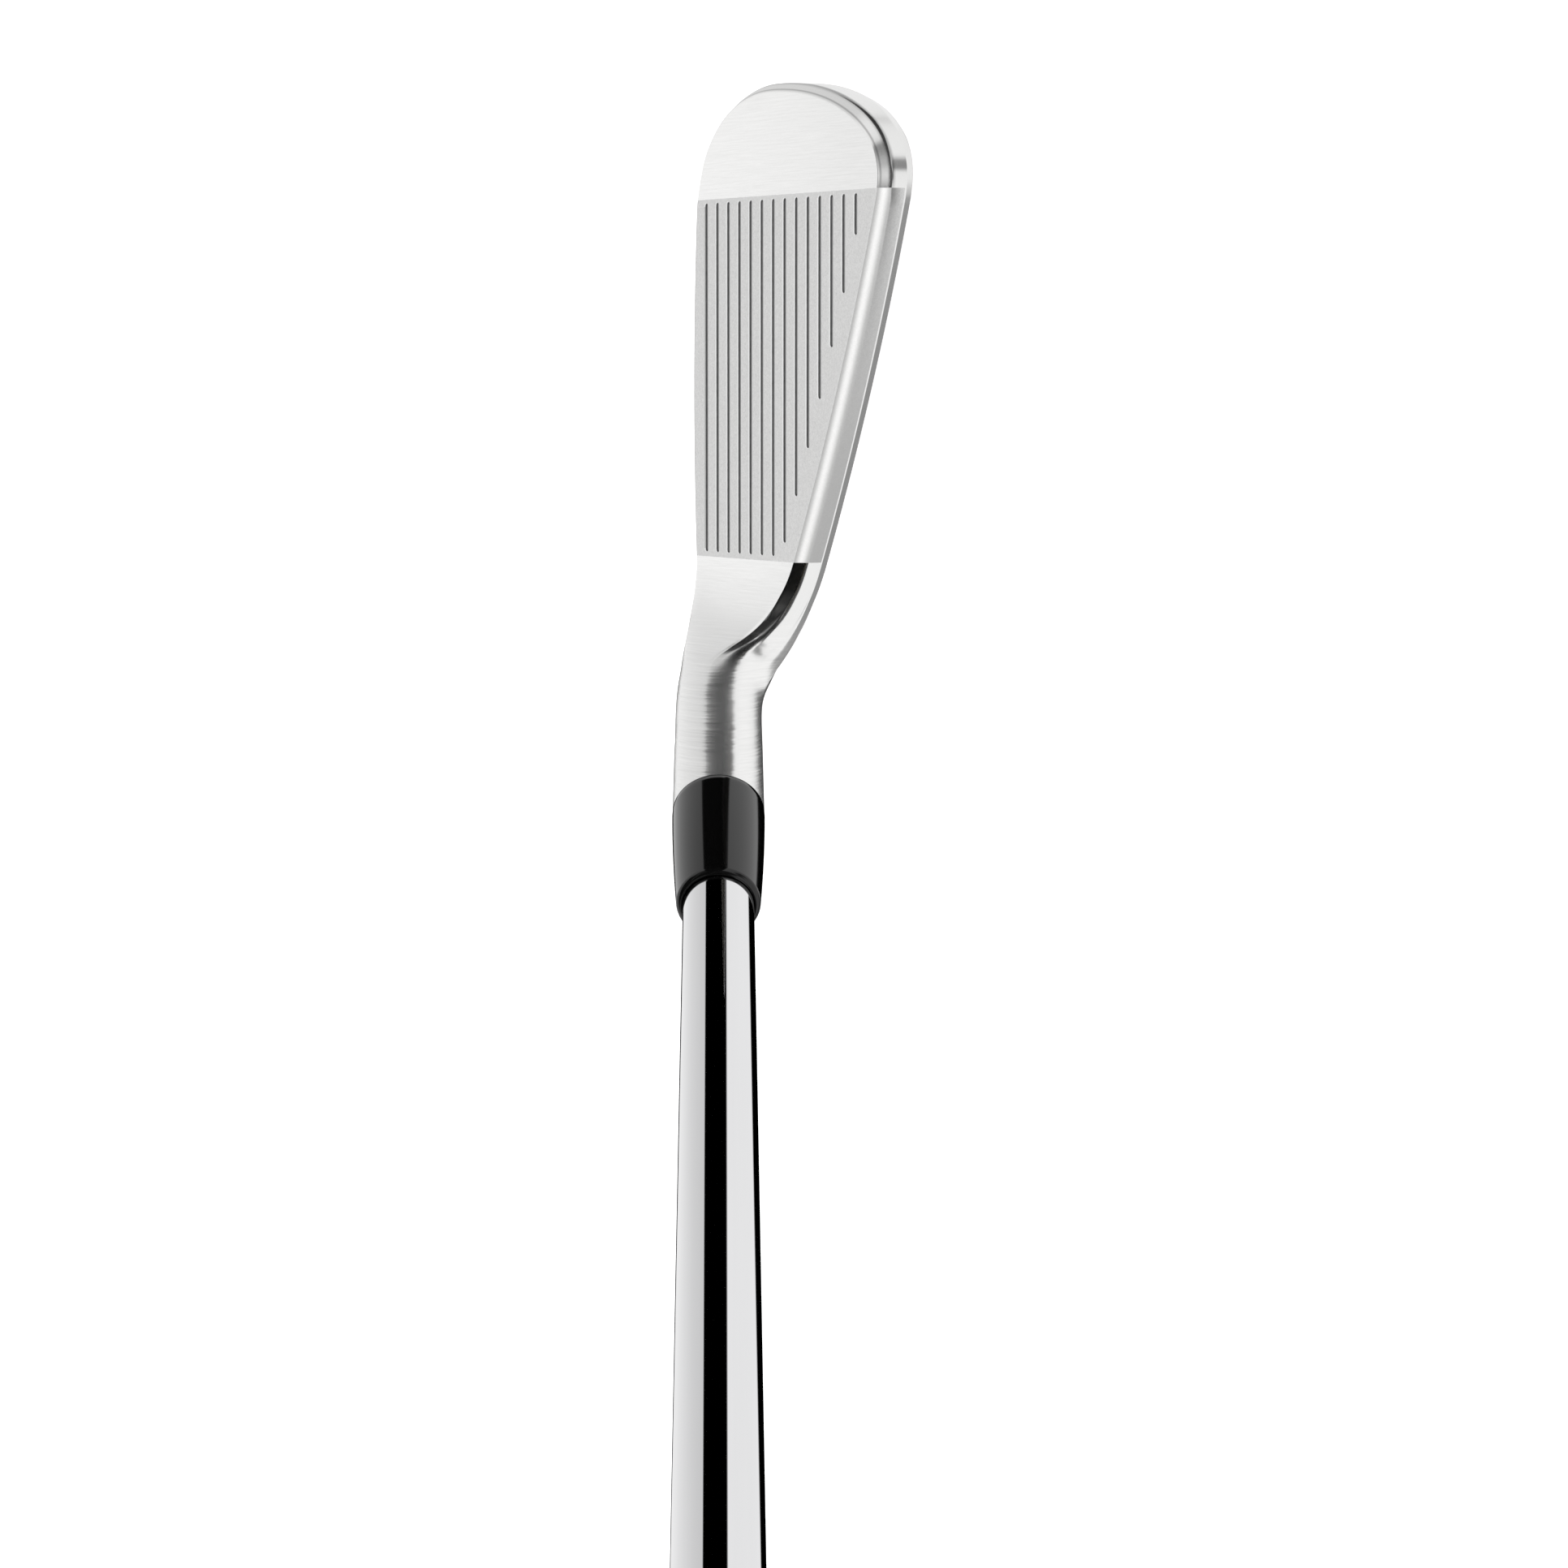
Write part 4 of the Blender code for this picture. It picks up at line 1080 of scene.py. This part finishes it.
def rubber_material(name, base, rough):
    m, g, b = new_material(name)
    co, w, h, d, s = club_coords(g)
    # how far a point lies below the outer surface of the grip: dust and shade
    # gather in the moulded slots, handling polishes the lands
    a1 = g.dot(co, (-math.sin(LIE), 0.0, math.cos(LIE)))
    a2 = g.dot(co, (0.0, 1.0, 0.0))
    r = g.m('SQRT', g.m('ADD', g.m('MULTIPLY', a1, a1), g.m('MULTIPLY', a2, a2)))
    t = g.m('DIVIDE', g.m('SUBTRACT', s, GRIP_MOUTH), GRIP_TOP - GRIP_MOUTH, clamp=True)
    flare = g.m('MAXIMUM', g.m('DIVIDE', g.m('SUBTRACT', t, 0.88), 0.12), 0.0)
    rg = g.m('ADD', g.m('ADD', 9.1, g.m('MULTIPLY', g.m('POWER', t, 0.9), 3.1)),
             g.m('MULTIPLY', g.m('MULTIPLY', flare, flare), 1.15))
    slot = g.step(g.m('SUBTRACT', rg, g.m('MULTIPLY', r, 1000.0)), 0.05, 0.26)
    grain = g.noise(co, 2600.0, 3.0, 0.65)
    wear_and_painted_lines = g.noise(co, 45.0, 3.0, 0.55)
    hold = g.m('MULTIPLY', g.span(s, 760.0, 900.0, 40.0), g.step(wear_and_painted_lines, 0.42, 0.62))
    v = g.m('ADD', base, g.m('ADD', g.m('MULTIPLY', grain, base * 0.5), g.m('MULTIPLY', hold, base * 0.25)))
    v = g.m('MULTIPLY', v, g.mixf(slot, 1.0, 0.30))
    g.put(b.inputs['Base Color'], g.grey(v))
    g.put(b.inputs['Roughness'], g.m('ADD', g.m('SUBTRACT', g.m('ADD', rough, g.m('MULTIPLY', grain, 0.12)), g.m('MULTIPLY', hold, 0.10)),
                                     g.m('MULTIPLY', slot, 0.3)))
    b.inputs['Specular IOR Level'].default_value = 0.42
    g.put(b.inputs['Normal'], g.bump(grain, 0.7, 0.00003))
    return m


def badge_material():
    """Satin metal plate, brushed along the blade."""
    m, g, b = new_material("badge_metal")
    co, w, h, d, s = club_coords(g)
    n = g.noise(g.vec(g.m('MULTIPLY', w, 0.12), g.m('MULTIPLY', h, 5.5), d), 1.0, 4.0, 0.6)
    v = g.m('ADD', 0.30, g.m('MULTIPLY', n, 0.14))
    g.put(b.inputs['Base Color'], g.grey(v, (1.0, 1.0, 1.02)))
    b.inputs['Metallic'].default_value = 1.0
    g.put(b.inputs['Roughness'], g.m('ADD', 0.24, g.m('MULTIPLY', n, 0.14)))
    g.put(b.inputs['Normal'], g.bump(n, 0.7, 0.000004))
    return m


def plain_material(name, colour, rough, metal, scale, vary):
    m, g, b = new_material(name)
    co = g.add('ShaderNodeTexCoord').outputs['Object']
    n = g.noise(co, scale, 3.0, 0.6)
    k = g.m('ADD', 1.0 - vary / 2, g.m('MULTIPLY', n, vary))
    col = g.add('ShaderNodeCombineColor')
    for i in range(3):
        g.put(col.inputs[i], g.m('MULTIPLY', k, colour[i]))
    g.put(b.inputs['Base Color'], col.outputs[0])
    b.inputs['Metallic'].default_value = metal
    g.put(b.inputs['Roughness'], g.m('ADD', rough, g.m('MULTIPLY', n, 0.12)))
    g.put(b.inputs['Normal'], g.bump(n, 0.5, 0.00002))
    return m


M_HEAD = head_material()
M_LINES = groove_material()
M_CAVITY = cavity_material()
M_SHAFT = chrome_material()
M_FERRULE = ferrule_material()
M_GRIP = rubber_material("grip_rubber", 0.013, 0.50)
M_CAP = rubber_material("cap_rubber", 0.020, 0.50)
M_BADGE = badge_material()
M_TAPE = plain_material("foam_tape", (0.72, 0.70, 0.64), 0.65, 0.0, 2200.0, 0.2)
M_GTAPE = plain_material("grip_tape", (0.78, 0.74, 0.62), 0.70, 0.0, 900.0, 0.15)
M_EPOXY = plain_material("epoxy_resin", (0.46, 0.42, 0.30), 0.35, 0.0, 700.0, 0.3)
M_BRASS = plain_material("plug_brass", (0.72, 0.55, 0.25), 0.28, 1.0, 1500.0, 0.15)


# ------------------------------------------------------------------ pieces
head = show(make_head([M_HEAD, M_LINES, M_CAVITY]), "head_steel", "iron_head")
# the blade's own image would break up the clean reflections on hosel and shaft
head.visible_glossy = False


def shaft_r(s):
    t = s - SHAFT_REF
    if t < 0:
        return 0.5 * (SHAFT_REF_D + t * 0.0057)
    return 0.5 * (SHAFT_REF_D + SHAFT_TAPER * t - SHAFT_TAPER_2 * t * t)


def shaft_wall(s):
    t = (s - SHAFT_TIP) / (SHAFT_BUTT - SHAFT_TIP)
    return WALL_TIP + (WALL_BUTT - WALL_TIP) * (1 - (1 - t) ** 2)


stations = [SHAFT_BUTT - (SHAFT_BUTT - SHAFT_TIP) * k / 60 for k in range(61)]
tube = [(shaft_r(SHAFT_BUTT) - 0.25, SHAFT_BUTT), (shaft_r(SHAFT_BUTT) - 0.07, SHAFT_BUTT - 0.09),
        (shaft_r(SHAFT_BUTT), SHAFT_BUTT - 0.3)]
tube += [(shaft_r(s), s) for s in stations[1:-1]]
tube += [(shaft_r(SHAFT_TIP), SHAFT_TIP + 0.5), (shaft_r(SHAFT_TIP) - 0.4, SHAFT_TIP)]
tube += [(shaft_r(s) - shaft_wall(s), s) for s in reversed(stations)]
show(lathe("shaft_fine", tube, [M_SHAFT], 160), "shaft_chrome", "shaft")

f0 = HOSEL_TOP + 0.12
f1 = HOSEL_TOP + FERRULE_LENGTH
ferr = []
for k in range(15):
    a = math.radians(90 - 6.43 * k)
    ferr.append((FERRULE_R_TOP - 0.8 + 0.8 * math.cos(a), f1 - 0.8 + 0.8 * math.sin(a)))
for k in range(1, 40):
    t = k / 40
    r = FERRULE_R_TOP + (FERRULE_R_MID - FERRULE_R_TOP) * (1 - (1 - t) ** 1.8)
    ferr.append((r, f1 - 0.8 + (f0 + 0.3 - f1 + 0.8) * t))
ferr += [(FERRULE_R_LOW, f0 + 0.15), (FERRULE_R_LOW - 0.03, f0 + 0.05), (FERRULE_R_LOW - 0.08, f0)]
ferr += [(BORE_R - 0.20, f0), (SHAFT_REF_D / 2 + 0.10, f1 - 0.10), (SHAFT_REF_D / 2 + 0.16, f1)]
show(lathe("ferrule_fine", ferr, [M_FERRULE], 160), "ferrule_black", "ferrule")


def grip_r(s):
    """Outer radius of the grip: a slow taper with a flare at the butt."""
    t = (s - GRIP_MOUTH) / (GRIP_TOP - GRIP_MOUTH)
    return 9.1 + 3.1 * t ** 0.9 + 1.15 * max(0.0, (t - 0.88) / 0.12) ** 2


def bump01(x):
    """0 outside (0, 1), a round hill inside."""
    return 0.0 if x <= 0.0 or x >= 1.0 else math.sin(math.pi * x) ** 2


def soft_box(x, lo, hi, soft):
    return smooth((x - lo) / soft) * smooth((hi - x) / soft)


def grip_relief(r, s, phi):
    """Moulded pattern of the grip: staggered slots in four long fields, plain
    lands between the fields, and plain collars with two rings at each end."""
    if r < grip_r(s) - 0.2:
        return r
    cut = 0.0
    field = soft_box(s, GRIP_MOUTH + 12.0, GRIP_TOP - 26.0, 1.2)
    if field > 0.0:
        turn = (phi / (2 * math.pi)) % 1.0
        lane = (turn * 4.0) % 1.0
        lane_mask = soft_box(lane, 0.05, 0.95, 0.03)
        row = (s - GRIP_MOUTH) / 2.6
        j = math.floor(row)
        v = row - j
        u = ((lane - 0.05) / 0.90 * 5.0 + (0.5 if j % 2 else 0.0)) % 1.0
        slot = soft_box(u, 0.10, 0.90, 0.16) * bump01((v - 0.18) / 0.64)
        cut = 0.42 * field * lane_mask * slot
    for at in (GRIP_MOUTH + 6.0, GRIP_MOUTH + 9.0, GRIP_TOP - 20.0, GRIP_TOP - 17.0):
        cut += 0.22 * bump01((s - at + 0.7) / 1.4)
    return r - cut


gs = []
s_here = GRIP_TOP
while s_here > GRIP_MOUTH + 2.0:
    gs.append(s_here)
    s_here -= 0.52
grip = [(grip_r(s), s) for s in gs]
grip += [(8.98, GRIP_MOUTH + 1.2), (8.86, GRIP_MOUTH + 0.6), (8.70, GRIP_MOUTH + 0.2), (8.5, GRIP_MOUTH),
         (shaft_r(GRIP_MOUTH) + 0.45, GRIP_MOUTH), (shaft_r(GRIP_TOP) + 0.45, GRIP_TOP)]
show(lathe("grip_fine", grip, [M_GRIP], 160, warp=grip_relief, sharp_deg=50.0), "grip_rubber", "grip_sleeve")

CR = grip_r(GRIP_TOP)
cap = [(1.7, CLUB_LENGTH - 0.5), (1.85, CLUB_LENGTH - 0.15), (2.1, CLUB_LENGTH)]
for r, dz in ((3.2, 0.0), (3.45, -0.22), (4.0, -0.30), (4.55, -0.22), (4.8, 0.0), (7.2, 0.0),
              (7.45, -0.22), (7.9, -0.30), (8.35, -0.22), (8.6, 0.0)):
    cap.append((r, CLUB_LENGTH + dz))
for k in range(10):
    a = math.radians(90 - 10 * k)
    cap.append((CR - 2.2 + 2.2 * math.cos(a), CLUB_LENGTH - 2.2 + 2.2 * math.sin(a)))
cap += [(CR, CAP_BOTTOM + 0.15), (CR - 0.15, CAP_BOTTOM), (1.7, CAP_BOTTOM)]
show(lathe("cap_fine", cap, [M_CAP], 144), "cap_rubber", "grip_cap")


def make_badge():
    """Plate that fills the back cavity: rolled edge and a shallow step down inside it to a flat middle."""
    base = even_outline(pocket_outline(0.6), 0.8)
    n = len(base)
    d0, d1 = FACE_THICK + 0.70, FACE_THICK + 2.00
    rows = []
    for inset, d in ((0.15, d0), (0.04, d0 + 0.05), (0.0, d0 + 0.15), (0.0, d1 - 0.30), (0.05, d1 - 0.15),
                     (0.15, d1 - 0.05), (0.30, d1), (1.70, d1), (1.85, d1 - 0.06), (1.95, d1 - 0.22),
                     (2.05, d1 - 0.36), (2.20, d1 - 0.42)):
        rows.append([Vector((p.x, p.y, d)) for p in offset_outline(base, -inset)])
    bm = bmesh.new()
    vs = [[bm.verts.new(on_face(*p) * MM) for p in row] for row in rows]
    bm.faces.new(vs[0])
    bm.faces.new(list(reversed(vs[-1])))
    for a, b in zip(vs, vs[1:]):
        strip(bm, a, b)
    bmesh.ops.recalc_face_normals(bm, faces=bm.faces[:])
    return finish_mesh("badge_fine", bm, [M_BADGE], 30.0)


show(make_badge(), "badge_metal", "cavity_badge")

for node, mat in (("badge_adhesive", M_TAPE), ("epoxy_sleeve", M_EPOXY),
                  ("tip_weight_plug", M_BRASS), ("grip_tape", M_GTAPE)):
    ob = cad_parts[node]
    ob.data.materials.clear()
    ob.data.materials.append(mat)


# ------------------------------------------------------------------- stage
lo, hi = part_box("iron_head")
floor_z = lo.z - 0.0004
bm = bmesh.new()
R = 14.0
ring = [bm.verts.new((R * math.cos(2 * math.pi * k / 64) + GROUND.x * MM,
                      R * math.sin(2 * math.pi * k / 64), floor_z)) for k in range(64)]
bm.faces.new(ring)
me = bpy.data.meshes.new("studio_floor")
bm.to_mesh(me)
bm.free()
floor = bpy.data.objects.new("studio_floor", me)
bpy.context.scene.collection.objects.link(floor)
fm, g, b = new_material("floor_paper")
co = g.add('ShaderNodeTexCoord').outputs['Object']
n = g.noise(co, 900.0, 3.0, 0.6)
g.put(b.inputs['Base Color'], g.grey(g.m('ADD', 0.80, g.m('MULTIPLY', n, 0.02))))
b.inputs['Roughness'].default_value = 0.9
b.inputs['Specular IOR Level'].default_value = 0.0
b.inputs['Emission Color'].default_value = (1.0, 1.0, 1.0, 1.0)
b.inputs['Emission Strength'].default_value = 0.75
geo = g.add('ShaderNodeNewGeometry')
clear = g.add('ShaderNodeBsdfTransparent')
mixs = g.add('ShaderNodeMixShader')
g.put(mixs.inputs[0], geo.outputs['Backfacing'])
g.t.links.new(b.outputs[0], mixs.inputs[1])
g.t.links.new(clear.outputs[0], mixs.inputs[2])
g.t.links.new(mixs.outputs[0], g.t.nodes["Material Output"].inputs[0])
me.materials.append(fm)
floor.visible_glossy = False
floor.visible_diffuse = False

# studio light: a soft key from above for the matt surfaces, and a bright room
# with dark flags that shape the reflections in the metal
L = Vector((0.0, -0.30, 0.95)).normalized()
key = bpy.data.objects.new("soft_key", bpy.data.lights.new("soft_key", 'SUN'))
key.data.energy = 3.0
key.data.angle = math.radians(50)
key.rotation_mode = 'QUATERNION'
key.rotation_quaternion = L.to_track_quat('Z', 'Y')
key.visible_glossy = False
bpy.context.scene.collection.objects.link(key)

world = bpy.data.worlds.new("studio")
bpy.context.scene.world = world
world.use_nodes = True
g = Graph(world.node_tree)
bg = world.node_tree.nodes["Background"]
direction = g.add('ShaderNodeTexCoord').outputs['Generated']
toe = g.dot(direction, (-1.0, 0.0, 0.0))
back = g.dot(direction, (0.0, 1.0, 0.0))
up = g.dot(direction, (0.0, 0.0, 1.0))
az = g.m('DEGREES', g.m('ARCTAN2', back, toe))
el = g.m('DEGREES', g.m('ARCSINE', up))


def flag(v, box, k):
    """Darkens v by share k inside a mask."""
    return g.m('MULTIPLY', v, g.m('SUBTRACT', 1.0, g.m('MULTIPLY', box, k)))


E = g.m('ADD', 0.93, 0.0)
# softer light low in front, fading out towards the face side
E = flag(E, g.m('MULTIPLY', g.span(az, -58.0, 6.0, 40.0, 4.0), g.step(el, -20.0, -8.0, 1.0, 0.0)), 0.28)
# tall dark panel in the toe direction
E = flag(E, g.m('MULTIPLY', g.span(az, g.step(el, -17.0, 50.0, -26.0, -36.0), 16.0, 1.0, 1.6),
                g.span(el, -37.0, 80.0, 1.6, 5.0)), 1.0)
# the ground straight below, left open towards the toe and the face
thr = g.m('ADD', -65.0, g.m('MULTIPLY', g.m('SINE', g.m('RADIANS', az)), 9.0))
E = flag(E, g.m('MULTIPLY', g.span(el, -200.0, thr, 1.6),
                g.m('SUBTRACT', 1.0, g.span(az, -82.0, 48.0, 4.0))), 1.0)
# dark strip over the front horizon, grey towards the heel
E = flag(E, g.m('MULTIPLY', g.span(az, -150.0, -62.0, 5.0), g.span(el, 6.0, 46.0, 4.0)), 0.97)
E = flag(E, g.m('MULTIPLY', g.span(az, -152.0, -106.0, 4.0), g.span(el, 20.0, 80.0, 4.0)), 0.90)
# half-dark patch high behind the toe
E = flag(E, g.m('MULTIPLY', g.span(az, 48.0, 73.0, 6.0), g.span(el, 15.0, 50.0, 6.0)), 0.80)
E = flag(E, g.m('MULTIPLY', g.span(az, 70.0, 98.0, 5.0), g.span(el, 43.0, 60.0, 3.0)), 0.80)
# dark step between the tall panel and the ceiling, on the face side
E = flag(E, g.m('MULTIPLY', g.span(az, -62.0, -26.0, 5.0), g.span(el, 17.0, 56.0, 5.0)), 0.78)
# dark ceiling, reaching lower on the face side
E = flag(E, g.m('MULTIPLY', g.span(az, -128.0, -18.0, 6.0), g.span(el, 47.0, 80.0, 3.5)), 0.94)
E = flag(E, g.step(el, 59.0, 64.0), 0.92)
# dark wall high on the heel side
side = g.m('ABSOLUTE', az)
E = flag(E, g.m('MULTIPLY', g.step(side, 152.0, 160.0), g.span(el, 12.0, 80.0, 4.0)), 0.92)
# dark corner low behind the heel
E = flag(E, g.m('MULTIPLY', g.span(az, 100.0, 152.0, 10.0), g.span(el, -46.0, -6.0, 6.0)), 0.70)

path = g.add('ShaderNodeLightPath').outputs
E = g.mixf(path['Is Diffuse Ray'], E, 0.14)
g.put(bg.inputs['Color'], g.grey(g.mixf(path['Is Camera Ray'], E, 1.0)))
world.cycles.sampling_method = 'NONE'
bg.inputs['Strength'].default_value = 1.0
bpy.context.scene.view_settings.view_transform = 'Standard'

# ------------------------------------------------------------------ camera
# looks down on the head from where the player stands, with the shaft coming
# up towards it; the tilt is in the camera's rotation and the shift stays 0
FOCAL_PX, FRAME_PX = 5928.4686, 1932.0
AT = Vector((0.572432, 32.3968624, 722.612426))        # behind, toe, up; mm
TURN = (-0.0851034257, -0.0127872306, 0.000250798140)


def club_to_part(v):
    return Vector((-v[1], v[0], v[2]))


turn = (Matrix.Rotation(TURN[2], 3, 'Z') @ Matrix.Rotation(TURN[1], 3, 'Y')
        @ Matrix.Rotation(TURN[0], 3, 'X'))
cam = bpy.data.objects.new("camera", bpy.data.cameras.new("camera"))
cam.data.sensor_width = 36.0
cam.data.lens = FOCAL_PX / FRAME_PX * 36.0
cam.data.clip_start, cam.data.clip_end = 0.01, 60.0
mat = Matrix.Identity(4)
for i in range(3):
    axis = club_to_part(turn.col[i])
    for r in range(3):
        mat[r][i] = axis[r]
where = (GROUND + club_to_part(AT)) * MM
for r in range(3):
    mat[r][3] = where[r]
cam.matrix_world = mat
bpy.context.scene.collection.objects.link(cam)
bpy.context.scene.camera = cam
